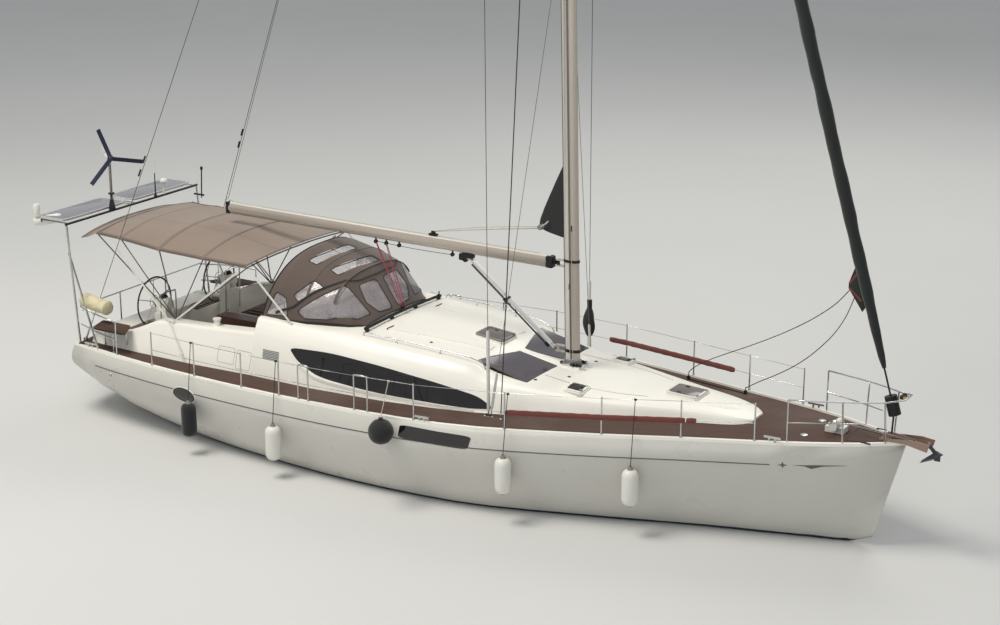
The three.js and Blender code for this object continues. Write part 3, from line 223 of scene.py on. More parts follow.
class Shader:
    """One material, with a method that adds any node to it."""

    def __init__(self, name="finish"):
        self.material = bpy.data.materials.new(name)
        self.material.use_nodes = True
        self.tree = self.material.node_tree
        self.tree.nodes.clear()
        self.body = self.tree.nodes.new("ShaderNodeBsdfPrincipled")
        output = self.tree.nodes.new("ShaderNodeOutputMaterial")
        self.tree.links.new(self.body.outputs[0], output.inputs[0])
        self.place = self.node("ShaderNodeTexCoord", out="Object")
        self.x, self.y, self.z = self.parts(self.place)

    def node(self, kind, inputs=None, out=0, **settings):
        made = self.tree.nodes.new(kind)
        for key, value in settings.items():
            setattr(made, key, value)
        for key, value in (inputs or {}).items():
            self.feed(made.inputs[key], value)
        return Term(self, made.outputs[out])

    def feed(self, socket, value):
        if isinstance(value, Term):
            self.tree.links.new(value.socket, socket)
        elif socket.type == "RGBA" and len(value) == 3:
            socket.default_value = (*value, 1)
        else:
            socket.default_value = value

    def parts(self, vector):
        made = self.tree.nodes.new("ShaderNodeSeparateXYZ")
        self.feed(made.inputs[0], vector)
        return [Term(self, out) for out in made.outputs]

    def uv(self):
        return self.parts(self.node("ShaderNodeTexCoord", out="UV"))[:2]

    def stretched(self, scale):
        return self.node("ShaderNodeMapping", {"Vector": self.place, "Scale": scale})

    def noise(self, scale, detail=3.0, rough=0.5, stretch=None):
        vector = self.stretched(stretch) if stretch else self.place
        values = {"Vector": vector, "Scale": scale, "Detail": detail, "Roughness": rough}
        return self.node("ShaderNodeTexNoise", values)

    def wave(self, scale, direction, distortion=0.0, vector=None):
        values = {"Vector": vector or self.place, "Scale": scale, "Distortion": distortion}
        return self.node("ShaderNodeTexWave", values, bands_direction=direction)

    def mix(self, factor, first, second):
        values = {0: factor, 6: first, 7: second}
        return self.node("ShaderNodeMix", values, out=2, data_type="RGBA")

    def set(self, **values):
        for key, value in values.items():
            self.feed(self.body.inputs[key.replace("_", " ")], value)

    def bump(self, height, depth, strength=0.6):
        values = {"Height": height, "Distance": depth, "Strength": strength}
        self.set(Normal=self.node("ShaderNodeBump", values))


# Finishes


def shade(rgb, share):
    return tuple(min(c * share, 1) for c in rgb)


def gelcoat(rgb, rough=0.28):
    """Polished moulding with faint clouding and a little run-off grime."""
    s = Shader()
    cloud = s.noise(0.9, 4)
    streak = s.noise(3.0, 4, 0.6, (1.0, 1.0, 0.12)).soft(0.58, 0.85)
    clean = s.mix(cloud.soft(0.3, 0.75), rgb, shade(rgb, 0.955))
    s.set(Base_Color=s.mix(streak * 0.05, clean, shade(rgb, 0.72)))
    s.set(Roughness=cloud * 0.12 + (rough - 0.05), Coat_Weight=0.35, Coat_Roughness=0.3)
    s.bump(s.noise(260, 2), 0.0004, 0.15)
    return s


def hull_finish():
    """White topsides over dark antifouling."""
    c = colours()
    s = gelcoat(c.hull)
    white = s.body.inputs["Base Color"].links[0].from_socket
    top = sizes().antifoul_top
    ragged = s.noise(5, 3) * 0.006
    below = 1 - (s.z + ragged).soft(top, top + 0.003)
    paint = s.mix(s.noise(7, 5), c.antifoul, shade(c.antifoul, 1.7))
    s.set(Base_Color=s.mix(below, Term(s, white), paint))
    s.set(Coat_Weight=0.35 - below * 0.35)
    s.set(Roughness=s.noise(1.2) * 0.12 + 0.23 + below * 0.4)
    return s


def deck_finish():
    """Cream deck moulding with a fine anti-slip grip on its level parts."""
    s = gelcoat(colours().deck, 0.36)
    up = s.parts(s.node("ShaderNodeNewGeometry", out="Normal"))[2]
    level = up.soft(0.93, 0.985)
    grain = s.node("ShaderNodeTexVoronoi", {"Vector": s.place, "Scale": 170.0})
    s.bump(grain.soft(0.15, 0.6) * level, 0.0012, 0.35)
    return s


def planks(across):
    """Weathered planks with black seams, from a function that gives the distance over the planks."""
    c = colours()
    s = Shader()
    run = across(s)
    cell = (run / sizes().plank).math("FLOOR")
    inside = run.part(sizes().plank)
    gap = sizes().seam / sizes().plank
    seam = inside.soft(0.0, gap * 0.5) - inside.soft(gap, gap * 1.5)
    tone = s.node("ShaderNodeTexWhiteNoise", {"W": cell}, noise_dimensions="1D")
    grain = s.noise(9, 6, 0.65, (0.5, 9.0, 9.0))
    worn = s.noise(0.8, 4)
    wood = s.mix(grain, shade(c.teak, 0.72), shade(c.teak, 1.22))
    wood = s.mix(tone * 0.5, wood, shade(c.teak, 1.35))
    wood = s.mix(worn.soft(0.45, 0.8) * 0.35, wood, colour(128, 112, 101))
    s.set(Base_Color=s.mix(seam, wood, c.caulk))
    s.set(Roughness=0.72 + grain * 0.14)
    s.bump(grain * 0.35 - seam, 0.0015, 0.5)
    return s


# Half breadth of the deck's edge, as the factors of x / 7.5 from its constant up
DECK_EDGE = (2.3277, -0.482, -2.2522, -1.6737, 2.0446, 3.1674, -1.2438, -1.8761)


def deck_planks():
    """Planks that follow the deck's edge."""

    def across(s):
        t = s.x / 7.5
        half = DECK_EDGE[-1] * t + DECK_EDGE[-2]
        for factor in DECK_EDGE[-3::-1]:
            half = half * t + factor
        return 4 + half - abs(s.y)

    return planks(across)


def straight_planks():
    return planks(lambda s: s.y + 9)


def joinery():
    """Varnished brown timber of the table and the seat corners."""
    s = Shader()
    grain = s.noise(6, 6, 0.6, (0.6, 8.0, 8.0))
    s.set(Base_Color=s.mix(grain, colour(70, 42, 32), colour(118, 76, 56)))
    s.set(Roughness=0.34 + grain * 0.2, Coat_Weight=0.3)
    s.bump(grain, 0.0006, 0.3)
    return s


def pane():
    """Smoked glazing with a faint film of salt."""
    s = Shader()
    salt = s.noise(2.2, 5, 0.6)
    s.set(Base_Color=s.mix(salt.soft(0.5, 0.9) * 0.5, colours().pane, colour(70, 64, 62)))
    s.set(Roughness=0.07 + salt.soft(0.45, 0.95) * 0.22, Coat_Weight=0.5, Coat_Roughness=0.03)
    return s


def metal(rgb, rough, shine=1.0, spots=0.0):
    """Worked metal with fine brushing, and a little tea staining where spots is above 0."""
    s = Shader()
    brushed = s.noise(60, 3, 0.6, (1.0, 1.0, 7.0))
    stain = s.noise(14, 4).soft(0.62, 0.8) * spots
    s.set(Base_Color=s.mix(stain, rgb, colour(120, 92, 66)), Metallic=shine)
    s.set(Roughness=brushed * 0.14 + (rough - 0.07) + stain * 0.3)
    s.bump(brushed, 0.0002, 0.12)
    return s


def spar():
    """Painted spar with soft marks from halyards."""
    s = Shader()
    rub = s.noise(5, 5, 0.6, (5.0, 5.0, 0.35)).soft(0.5, 0.85)
    c = colours().mast
    s.set(Base_Color=s.mix(rub * 0.4, c, shade(c, 0.74)), Metallic=0.15)
    s.set(Roughness=0.36 + rub * 0.15, Coat_Weight=0.25, Coat_Roughness=0.15)
    s.bump(s.noise(220, 2), 0.0003, 0.12)
    return s


def cloth(rgb, fade=0.14, edge=None, seams=()):
    """Woven acrylic canvas, with an edge binding and sewn seams at places across the sheet's own map."""
    s = Shader()
    threads = (s.wave(100, "X", 0.6) + s.wave(100, "Y", 0.6)) * 0.5
    worn = s.noise(1.7, 5, 0.55)
    body = s.mix(worn.soft(0.35, 0.75) * fade * 3, rgb, shade(rgb, 1.18))
    body = s.mix(s.noise(9, 4).soft(0.5, 0.85) * 0.22, body, shade(rgb, 0.74))
    height = threads * 0.25 + worn * 0.4
    if edge:
        u, v = s.uv()
        rim = abs(u - 0.5).soft(0.482, 0.484) + abs(v - 0.5).soft(0.486, 0.488)
        rim = rim.math("MINIMUM", 1.0)
        body = s.mix(rim * 0.8, body, edge)
        height = height + rim
    for axis, at in seams:
        near = abs((u if axis == "u" else v) - at)
        fold = 1 - near.soft(0.004, 0.006)
        body = s.mix(fold * 0.5, body, shade(rgb, 0.62))
        height = height + fold * 0.8
    s.set(Base_Color=body, Roughness=0.82 + threads * 0.1, Sheen_Weight=0.25)
    s.bump(height, 0.0012, 0.5)
    return s


def canopy():
    """Bound bimini cloth, with its seams across and along."""
    seams = [("v", 0.16), ("v", 0.44), ("v", 0.72), ("u", 0.335), ("u", 0.665)]
    return cloth(colours().canopy, edge=colours().trim, seams=seams)


def rope(rgb, fleck):
    """Braided rope, with a fleck in every few strands."""
    s = Shader()
    strands = s.wave(70, "DIAGONAL", 1.2) * s.wave(70, "DIAGONAL", vector=s.stretched((1, 1, -1)))
    s.set(Base_Color=s.mix(strands.soft(0.45, 0.75), rgb, fleck), Roughness=0.8 + strands * 0.1)
    s.bump(strands, 0.0012, 0.6)
    return s


def plastic(rgb, rough=0.42, grain=500):
    """Moulded plastic or rubber with a fine surface, and scuffs that are paler on a dark piece."""
    s = Shader()
    scuff = s.noise(22, 5, 0.65).soft(0.55, 0.85)
    s.set(Base_Color=s.mix(scuff * 0.35, rgb, shade(rgb, 1.3 if sum(rgb) < 0.6 else 0.8)))
    s.set(Roughness=rough + scuff * 0.18)
    s.bump(s.noise(grain, 2), 0.0003, 0.2)
    return s


def solar():
    """Solar cells under glass, in a grid with silver busbars."""
    s = Shader()
    rows = abs(s.x.part(0.157) - 0.5)
    files = abs(s.y.part(0.157) - 0.5)
    line = (1 - rows.soft(0.47, 0.485)) * (1 - files.soft(0.47, 0.485))
    bus = abs(s.x.part(0.052) - 0.5) < 0.016
    cell = s.mix(s.noise(30, 3), colour(112, 112, 120), colour(130, 130, 137))
    cell = s.mix(bus * 0.7, cell, colour(170, 172, 180))
    s.set(Base_Color=s.mix(line, colour(150, 150, 160), cell))
    s.set(Roughness=0.16 + s.noise(3, 4) * 0.12, Coat_Weight=0.9)
    return s


def vinyl():
    """Clear window film, milky with age."""
    s = Shader()
    haze = s.noise(3.5, 4, 0.6)
    s.set(Base_Color=s.mix(haze, colour(150, 142, 146), colour(196, 190, 192)))
    s.set(Roughness=0.1 + haze * 0.14, Coat_Weight=0.6)
    s.set(Alpha=0.34 + haze.soft(0.3, 0.8) * 0.2)
    s.bump(s.noise(2.4, 3), 0.01, 0.35)
    return s


def grip():
    """Deck paint with raised dots."""
    s = Shader()
    deck = colours().deck
    across = abs(s.x.part(0.045) - 0.5)
    along = abs(s.y.part(0.045) - 0.5)
    dot = 1 - (across * across + along * along).soft(0.03, 0.05)
    s.set(Base_Color=s.mix(dot * 0.75, deck, shade(deck, 0.6)), Roughness=0.6)
    s.bump(dot, 0.002, 0.5)
    return s


def leather():
    """Stitched black leather."""
    s = Shader()
    pores = s.node("ShaderNodeTexVoronoi", {"Vector": s.place, "Scale": 420.0})
    worn = s.noise(6, 4).soft(0.55, 0.85)
    s.set(Base_Color=s.mix(worn * 0.6, colour(26, 24, 24), colour(62, 56, 52)))
    s.set(Roughness=0.5 + worn * 0.15)
    s.bump(pores, 0.0006, 0.4)
    return s


# Name: maker and its values, where a colour is three screen values, or a colour of the panel and its share
FINISHES = {
    "hull_gelcoat": [hull_finish],
    "deck_gelcoat": [deck_finish],
    "teak": [deck_planks],
    "teak_slats": [straight_planks],
    "joinery": [joinery],
    "dark_pane": [pane],
    "spar_paint": [spar],
    "canopy": [canopy],
    "clear_vinyl": [vinyl],
    "grip": [grip],
    "solar_cells": [solar],
    "leather": [leather],
    "white_gelcoat": [gelcoat, ("deck", 1.02), 0.3],
    "hatch_pane": [gelcoat, (104, 91, 86), 0.14],
    "roof_pane": [gelcoat, (74, 67, 73), 0.12],
    "stainless": [metal, (206, 206, 204), 0.24, 1.0, 0.25],
    "chrome": [metal, (222, 222, 220), 0.14],
    "bronze": [metal, (168, 128, 76), 0.36, 1.0, 0.3],
    "iron": [metal, (70, 72, 76), 0.55, 0.4, 0.5],
    "galvanised": [metal, (150, 152, 154), 0.5, 0.8, 0.35],
    "black_alloy": [metal, (34, 33, 34), 0.42, 0.4],
    # Pale alloy: the mast's paler aft chamber, and a painted highlight on the boom's top and the mast's aft
    # side
    "white_alloy": [metal, (214, 211, 202), 0.4, 0.2],
    "satin_alloy": [metal, (216, 216, 214), 0.34, 0.55],
    # Painted shadow in the gaps halfway along the mast's sides
    "mast_shade": [metal, (112, 102, 96), 0.5, 0.1],
    "rusty_steel": [metal, (158, 134, 120), 0.5, 0.5],
    "wire": [metal, (86, 82, 78), 0.42, 0.6],
    "hood": [cloth, ("hood", 1), 0.05],
    "bimini_hem": [cloth, ("canopy", 0.72)],
    "bimini_flap_cloth": [cloth, ("canopy", 1)],
    "genoa": [cloth, ("genoa", 1), 0.3],
    "sleeve": [cloth, ("sleeve", 1)],
    "black_cloth": [cloth, (30, 29, 31)],
    "cream_cloth": [cloth, (214, 204, 168)],
    "white_cloth": [cloth, (214, 212, 204)],
    "cushion_cloth": [cloth, (88, 66, 56), 0.05],
    "antifoul": [plastic, ("antifoul", 1), 0.72, 60],
    "stripe_paint": [plastic, (92, 90, 90), 0.35],
    "grey_cover": [plastic, (208, 207, 200), 0.5],
    "black_rubber": [plastic, (28, 27, 28), 0.6],
    "white_plastic": [plastic, (226, 224, 216), 0.38],
    "grey_plastic": [plastic, (128, 130, 128), 0.45],
    "navy_plastic": [plastic, (36, 42, 66), 0.4],
    "yellow_plastic": [plastic, (206, 170, 52), 0.4],
    "rope_white": [rope, (206, 202, 190), (120, 122, 124)],
    "rope_dark": [rope, (34, 36, 38), (92, 92, 90)],
    "rope_red": [rope, ("mainsheet", 1), ("mainsheet", 1.7)],
}


def looked_up(value):
    """A finish's value, with its colour made where it is one."""
    if not isinstance(value, tuple):
        return value
    if isinstance(value[0], str):
        return shade(getattr(colours(), value[0]), value[1])
    return colour(*value)


def finish(name):
    """The material of that name, made when it is first asked for."""
    found = bpy.data.materials.get("finish_" + name)
    if not found:
        maker, *values = FINISHES[name]
        found = maker(*[looked_up(value) for value in values]).material
        found.name = "finish_" + name
    return found


# Modelling


def only(obj):
    """Leaves obj as the one selected and active object."""
    bpy.ops.object.select_all(action="DESELECT")
    obj.select_set(True)
    bpy.context.view_layer.objects.active = obj
    return obj


def settle(obj):
    """Moves the object's place and size into its mesh."""
    only(obj)
    bpy.ops.object.transform_apply(location=True, rotation=True, scale=True)
    return obj


def modified(obj, kind, **settings):
    """Adds one modifier and applies it."""
    only(obj)
    bpy.ops.object.modifier_add(type=kind)
    modifier = obj.modifiers[-1]
    for key, value in settings.items():
        setattr(modifier, key, value)
    bpy.ops.object.modifier_apply(modifier=modifier.name)
    return obj


def edited(obj, *steps):
    """Runs edit mode steps with the whole mesh selected. A step is an operator and its settings."""
    only(obj)
    bpy.ops.object.mode_set(mode="EDIT")
    bpy.ops.mesh.select_all(action="SELECT")
    for step, settings in steps:
        step(**settings)
    bpy.ops.object.mode_set(mode="OBJECT")
    return obj


def closed(obj):
    """Merges points that coincide and turns the faces outward."""
    return edited(
        obj,
        (bpy.ops.mesh.remove_doubles, {"threshold": 0.00005}),
        (bpy.ops.mesh.normals_make_consistent, {"inside": False}),
    )


def fit(obj, name, look, body=ROOT, angle=35):
    """Names, paints and smooths a piece, and lets it ride on its body."""
    only(obj)
    obj.name = name
    obj.data.name = name
    obj.data.materials.clear()
    obj.data.materials.append(finish(look))
    bpy.ops.object.shade_smooth_by_angle(angle=math.radians(angle))
    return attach(obj, body)


def repaint(obj, look, test):
    """Gives a second finish to the faces whose middle and normal pass the test."""
    obj.data.materials.append(finish(look))
    slot = len(obj.data.materials) - 1
    for face in obj.data.polygons:
        if test(face.center, face.normal):
            face.material_index = slot
    return obj


def block(centre, size, bevel=0.003, turn=(0, 0, 0), segments=2):
    """Block with rounded edges, turned about its middle."""
    bpy.ops.mesh.primitive_cube_add(size=1, location=centre, rotation=turn, scale=size)
    obj = settle(bpy.context.object)
    return edited(
        obj,
        (bpy.ops.mesh.bevel, {"offset": bevel, "segments": segments, "affect": "EDGES"}),
    )


def turned(profile, at=(0, 0, 0), axis=(0, 0, 1), sides=28):
    """Turned piece from radius and height pairs about its axis."""
    mesh = bpy.data.meshes.new("turned")
    links = [(i, i + 1) for i in range(len(profile) - 1)]
    mesh.from_pydata([(r, 0, h) for r, h in profile], links, [])
    obj = bpy.data.objects.new("turned", mesh)
    bpy.context.scene.collection.objects.link(obj)
    spin = {"steps": sides, "angle": 2 * math.pi, "center": (0, 0, 0), "axis": (0, 0, 1)}
    edited(obj, (bpy.ops.mesh.spin, spin))
    closed(obj)
    obj.rotation_mode = "QUATERNION"
    obj.rotation_quaternion = Vector((0, 0, 1)).rotation_difference(Vector(axis))
    obj.location = at
    return settle(obj)


def disc(at, foot, top, height, axis=UP, sides=28):
    """Low round piece, whose radius goes from foot to top."""
    return turned([(0, 0), (foot, 0), (top, height), (0, height)], at, axis, sides)


def sheave(at, radius, groove, half, sides=24):
    """Grooved wheel across the boat."""
    profile = [(0, -half), (radius, -half), (groove, 0), (radius, half), (0, half)]
    return turned(profile, at, ACROSS, sides)


def eyelet(at, inner, outer, half, sides=28):
    """Flat ring across the boat."""
    profile = [(inner, -half), (outer, -half), (outer, half), (inner, half), (inner, -half)]
    return turned(profile, at, ACROSS, sides)


def rod(start, end, radius, tip=None, sides=16):
    """Round bar, which may taper to its tip."""
    start, end = Vector(start), Vector(end)
    length = (end - start).length
    return disc(start, radius, radius if tip is None else tip, length, end - start, sides)


def spread(low, high, count):
    """Numbers from low to high, in that number of even steps."""
    return [low + (high - low) * k / count for k in range(count + 1)]


def around(count):
    """Angles of that number of points round a circle."""
    return spread(0, 2 * math.pi, count)[:-1]


def ellipse(centre, first, second, count):
    """Points round a centre, whose half axes are two vectors."""
    centre, first, second = Vector(centre), Vector(first), Vector(second)
    return [centre + first * math.cos(t) + second * math.sin(t) for t in around(count)]


def smooth_path(points, steps=8):
    """Points on a smooth curve through the given ones."""
    p = [Vector(q) for q in points]
    p = [2 * p[0] - p[1], *p, 2 * p[-1] - p[-2]]
    path = []
    for i in range(1, len(p) - 2):
        for k in range(steps):
            t = k / steps
            a = 2 * p[i]
            b = (p[i + 1] - p[i - 1]) * t
            c = (2 * p[i - 1] - 5 * p[i] + 4 * p[i + 1] - p[i + 2]) * t**2
            d = (3 * p[i] - p[i - 1] - 3 * p[i + 1] + p[i + 2]) * t**3
            path.append((a + b + c + d) / 2)
    return [*path, p[-2]]


def line(points, radius, smooth=0, roundness=2, closed_loop=False):
    """Round line through the points, made a mesh."""
    path = smooth_path(points, smooth) if smooth else [Vector(q) for q in points]
    curve = bpy.data.curves.new("line", "CURVE")
    curve.dimensions = "3D"
    curve.bevel_depth = radius
    curve.bevel_resolution = roundness
    curve.use_fill_caps = True
    spline = curve.splines.new("POLY")
    spline.points.add(len(path) - 1)
    for point, co in zip(spline.points, path):
        point.co = (*co, 1)
    spline.use_cyclic_u = closed_loop
    obj = bpy.data.objects.new("line", curve)
    bpy.context.scene.collection.objects.link(obj)
    only(obj)
    bpy.ops.object.convert(target="MESH")
    return bpy.context.object


def grid(across, along, place_at):
    """Sheet whose points are placed by their share of its width and length."""
    bpy.ops.mesh.primitive_grid_add(x_subdivisions=across, y_subdivisions=along, size=2)
    obj = bpy.context.object
    for v in obj.data.vertices:
        v.co = place_at((v.co.x + 1) / 2, (v.co.y + 1) / 2)
    return obj


def shell(rings, cap=True):
    """Closed body through rings of the same number of points."""
    count = len(rings[0])
    points = [tuple(p) for ring in rings for p in ring]
    faces = []
    for low in range(0, (len(rings) - 1) * count, count):
        for i in range(count):
            after = (i + 1) % count
            faces.append((low + i, low + after, low + count + after, low + count + i))
    if cap:
        faces.append(tuple(range(count)))
        faces.append(tuple((len(rings) - 1) * count + i for i in range(count)))
    mesh = bpy.data.meshes.new("shell")
    mesh.from_pydata(points, [], faces)
    obj = bpy.data.objects.new("shell", mesh)
    bpy.context.scene.collection.objects.link(obj)
    return closed(obj)


def joined(objs):
    """Joins several meshes into the first."""
    bpy.ops.object.select_all(action="DESELECT")
    for obj in objs:
        obj.select_set(True)
    bpy.context.view_layer.objects.active = objs[0]
    bpy.ops.object.join()
    return objs[0]


def copied(obj):
    """Copy with its own mesh, which carries none of the frame's marks."""
    made = obj.copy()
    made.data = obj.data.copy()
    made.parent = None
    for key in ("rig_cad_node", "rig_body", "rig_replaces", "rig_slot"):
        if key in made:
            del made[key]
    bpy.context.scene.collection.objects.link(made)
    made.matrix_world = Matrix()
    return settle(made)


def refined(node, look, angle=35):
    """Copy of a CAD node with its triangles merged, which stands for it and shades smoothly."""
    obj = copied(NODES[node])
    edited(
        obj,
        (bpy.ops.mesh.remove_doubles, {"threshold": 0.00002}),
        (bpy.ops.mesh.dissolve_limited, {"angle_limit": math.radians(0.3)}),
    )
    fit(obj, node + "_skin", look, NODES[node]["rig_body"], angle)
    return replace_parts(obj, node)


def tree_of(name):
    """Search tree over a CAD node, for finding its surface."""
    mesh = NODES[name].data
    points = [v.co.copy() for v in mesh.vertices]
    return BVHTree.FromPolygons(points, [list(face.vertices) for face in mesh.polygons])


HULL_TREE = tree_of("hull")


def deck_at(x, y, over=0.0):
    """Point over the deck, or None beyond its edge."""
    hit = HULL_TREE.ray_cast(Vector((x, y, 3.2)), Vector((0, 0, -1)))[0]
    return Vector((x, y, hit.z + over)) if hit else None


def hull_at(x, z, over=0.0, side=-1):
    """Point over the side of the hull."""
    at, normal, *_ = HULL_TREE.ray_cast(Vector((x, side * 4, z)), Vector((0, -side, 0)))
    return at + normal * over


# Camera and the slack genoa sheets


class YACHT_OT_camera(bpy.types.Operator):
    """Sets the camera on the starboard side, a little above the boom"""

    bl_idname = "yacht.camera"
    bl_label = "Camera"

    def execute(self, context):
        data = bpy.data.cameras.new("camera")
        data.lens = 69.74
        data.sensor_width = 36
        data.clip_end = 500
        camera = bpy.data.objects.new("camera", data)
        camera.location = (16.068, -25.928, 11.833)
        camera.rotation_euler = (math.radians(90 - 16.908), 0, math.radians(30.891))
        context.scene.collection.objects.link(camera)
        context.scene.camera = camera
        return {"FINISHED"}


GENOA_SHEETS = {
    "genoa_sheet_aft": [
        (6.56, 0.0143, 4.0), (6.56, 0.06, 4.0), (6.45, 0.14, 3.87), (6.2, 0.24, 3.59),
        (5.85, 0.37, 3.3), (5.45, 0.53, 3.02), (5.0, 0.71, 2.74), (4.55, 0.89, 2.48),
        (4.15, 1.05, 2.26), (3.78, 1.2, 2.05), (3.48, 1.33, 1.85), (3.33, 1.41, 1.72),
    ],
    "genoa_sheet_fore": [
        (6.61, 0.0143, 3.925), (6.61, 0.06, 3.925), (6.53, 0.14, 3.76), (6.38, 0.25, 3.43),
        (6.18, 0.37, 3.12), (5.95, 0.49, 2.85), (5.68, 0.62, 2.58), (5.38, 0.75, 2.33),
        (5.05, 0.88, 2.1), (4.76, 0.99, 1.92), (4.55, 1.06, 1.78), (4.475, 1.085, 1.73),
    ],
}
LEAD_BLOCKS = {"genoa_sheet_aft": (3.3, 1.43), "genoa_sheet_fore": (4.46, 1.09)}


class YACHT_OT_genoa_sheets(bpy.types.Operator):
    """Hangs the two slack sheets from the genoa's clew to their lead blocks"""

    bl_idname = "yacht.genoa_sheets"
    bl_label = "Genoa sheets"

    def execute(self, context):
        for node, points in GENOA_SHEETS.items():
            x, y = LEAD_BLOCKS[node]
            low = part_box(node)[0].z
            path = smooth_path([*points, (x, y, low + 0.05), (x, y, low)], 6)
            obj = line(path, sizes().sheet, roundness=3)
            fit(obj, node + "_rope", "rope_dark", angle=60)
            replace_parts(obj, node)
            run = sum((b - a).length for a, b in zip(path, path[1:]))
            [tuple(p) for p in path]
        return {"FINISHED"}


# The frame's own parts

# part: finish, smoothing angle
SMOOTHED = {
    "hull": ("hull_gelcoat", 42),
    "toe_rail": ("white_gelcoat", 30),
    "cockpit": ("deck_gelcoat", 32),
    "cockpit_table": ("joinery", 25),
    "keel": ("antifoul", 60),
    "rudder": ("antifoul", 60),
    "propeller": ("bronze", 50),
    "shaft_strut": ("bronze", 50),
    "gooseneck": ("black_alloy", 40),
    "vang_toggle": ("stainless", 40),
    "vang_tube": ("satin_alloy", 40),
    "vang_rod": ("satin_alloy", 40),
    "furler_drum": ("black_alloy", 40),
    "backstays": ("wire", 62),
    "shrouds_port": ("wire", 62),
    "shrouds_starboard": ("wire", 62),
    "guard_rail_port": ("stainless", 75),
    "guard_rail_starboard": ("stainless", 75),
    "pulpit": ("stainless", 62),
    "stern_arch": ("stainless", 62),
    "wind_pole": ("wire", 50),
    "wind_generator": ("white_plastic", 45),
    "wind_rotor": ("navy_plastic", 35),
    # The stainless bimini frame takes the darker wire finish as painted shade under the canopy
    "bimini_frame": ("wire", 62),
    "sprayhood_frame": ("stainless", 62),
    "bow_roller": ("rusty_steel", 35),
    "anchor": ("iron", 30),
    "windlass": ("white_plastic", 35),
    "sheet_leads": ("black_alloy", 40),
    "mast": ("spar_paint", 50),
    "boom": ("spar_paint", 50),
    "sliding_hatch": ("deck_gelcoat", 30),
}
FLAT = {
    "teak_deck": "teak",
    "washboard": "dark_pane",
    "engine": "iron",
}


class YACHT_OT_frame_finishes(bpy.types.Operator):
    """Paints the frame's own parts and smooths the round ones"""

    bl_idname = "yacht.frame_finishes"
    bl_label = "Frame finishes"

    def execute(self, context):
        for node, look in FLAT.items():
            if not NODES[node].material_slots:
                NODES[node].data.materials.append(finish(look))
            for slot in NODES[node].material_slots:
                slot.material = finish(look)
        for node, (look, angle) in SMOOTHED.items():
            refined(node, look, angle)
        arch = bpy.data.objects["stern_arch_skin"]
        # The arch's stainless front beam is painted black as painted shade, since it is dark there only in
        # shadow
        repaint(arch, "black_alloy", lambda c, n: abs(c.x + 7.18) < 0.03 and c.z > 3.45)
        pole = bpy.data.objects["wind_pole_skin"]
        repaint(pole, "black_rubber", lambda c, n: c.z < 3.8)
        cleats = (-6.7, 0.5, 5.75)
        rail = bpy.data.objects["toe_rail_skin"]
        for x in cleats:
            repaint(rail, "stainless", lambda c, n, x=x: abs(c.x - x) < 0.14 and above_cap(c))
        return {"FINISHED"}


def above_cap(c):
    """True for what stands on the cap rail."""
    cap = deck_at(c.x, c.y * 0.99, 0.054)
    return cap is not None and c.z > cap.z


# Hull's edge: x, half beam, sheer height
HULL_EDGE = [
    (-7.15, 1.79, 1.32), (-6.2, 1.965, 1.32), (-4.8, 2.15, 1.328), (-3.0, 2.29, 1.348),
    (-1.0, 2.345, 1.385), (1.0, 2.24, 1.44), (2.8, 1.79, 1.508), (4.5, 1.27, 1.59),
    (6.0, 0.8, 1.655), (7.0, 0.37, 1.69), (7.5, 0.045, 1.705),
]


def row_at(table, x):
    """A table's row at x, smooth between the given ones, whichever way its x runs."""
    rows = table if table[0][0] < table[-1][0] else table[::-1]
    i = 0
    while i < len(rows) - 2 and x > rows[i + 1][0]:
        i += 1

    def slope(k, column):
        a, b = rows[max(k - 1, 0)], rows[min(k + 1, len(rows) - 1)]
        return (b[column] - a[column]) / (b[0] - a[0])

    low, high = rows[i], rows[i + 1]
    span = high[0] - low[0]
    t = min(max((x - low[0]) / span, 0), 1)
    ease = t * t * (3 - 2 * t)
    return [
        a + (b - a) * ease + span * t * (1 - t) * ((1 - t) * slope(i, k) - t * slope(i + 1, k))
        for k, (a, b) in enumerate(zip(low, high))
    ]


# Strips and patches that follow a surface


def tape(points, normals, width, thick):
    """Flat strip along the points, lying square to the normals."""
    points = [Vector(p) for p in points]
    rings = []
    for i, p in enumerate(points):
        way = (points[min(i + 1, len(points) - 1)] - points[max(i - 1, 0)]).normalized()
        up = Vector(normals[i] if isinstance(normals, list) else normals).normalized()
        side = way.cross(up).normalized() * width / 2
        up = side.cross(way).normalized() * thick / 2
        rings.append([p - side - up, p + side - up, p + side + up, p - side + up])
    return shell(rings)


def rounded(corners, share=0.3, steps=5):
    """Outline with its corners cut round, from pairs of numbers."""
    outline = []
    for i, corner in enumerate(corners):
        here = Vector(corner)
        before = here.lerp(Vector(corners[i - 1]), share)
        after = here.lerp(Vector(corners[(i + 1) % len(corners)]), share)
        for k in range(steps + 1):
            t = k / steps
            outline.append(before * (1 - t) ** 2 + here * 2 * t * (1 - t) + after * t**2)
    return outline


def patch(outline, place_at, low, high, grow=1.0):
    """Closed body over part of a surface. place_at takes the outline's two numbers and a height."""
    middle = sum(outline, Vector((0, 0))) / len(outline)
    shares = [0.04, 0.36, 0.7, 1.0]
    levels = [(share, high) for share in shares] + [(share, low) for share in shares[::-1]]
    return shell([
        [place_at(*(middle + (p - middle) * share * grow), over) for p in outline]
        for share, over in levels
    ])


def dense(outline, step):
    """Outline with points added, so that it can follow a curved surface."""
    points = []
    for here, after in zip(outline, [*outline[1:], outline[0]]):
        count = max(int((after - here).length / step), 1)
        points += [here.lerp(after, k / count) for k in range(count)]
    return points


def seam(outline, place_at, radius, over=0.0):
    """Thin round line along an outline on a surface."""
    return line([place_at(p.x, p.y, over) for p in outline], radius, closed_loop=True)


def cut_by(obj, cutter):
    """Takes the cutter away from obj."""
    modified(obj, "BOOLEAN", operation="DIFFERENCE", object=cutter, solver="EXACT")
    bpy.data.objects.remove(cutter)
    return obj


# Bimini and sprayhood

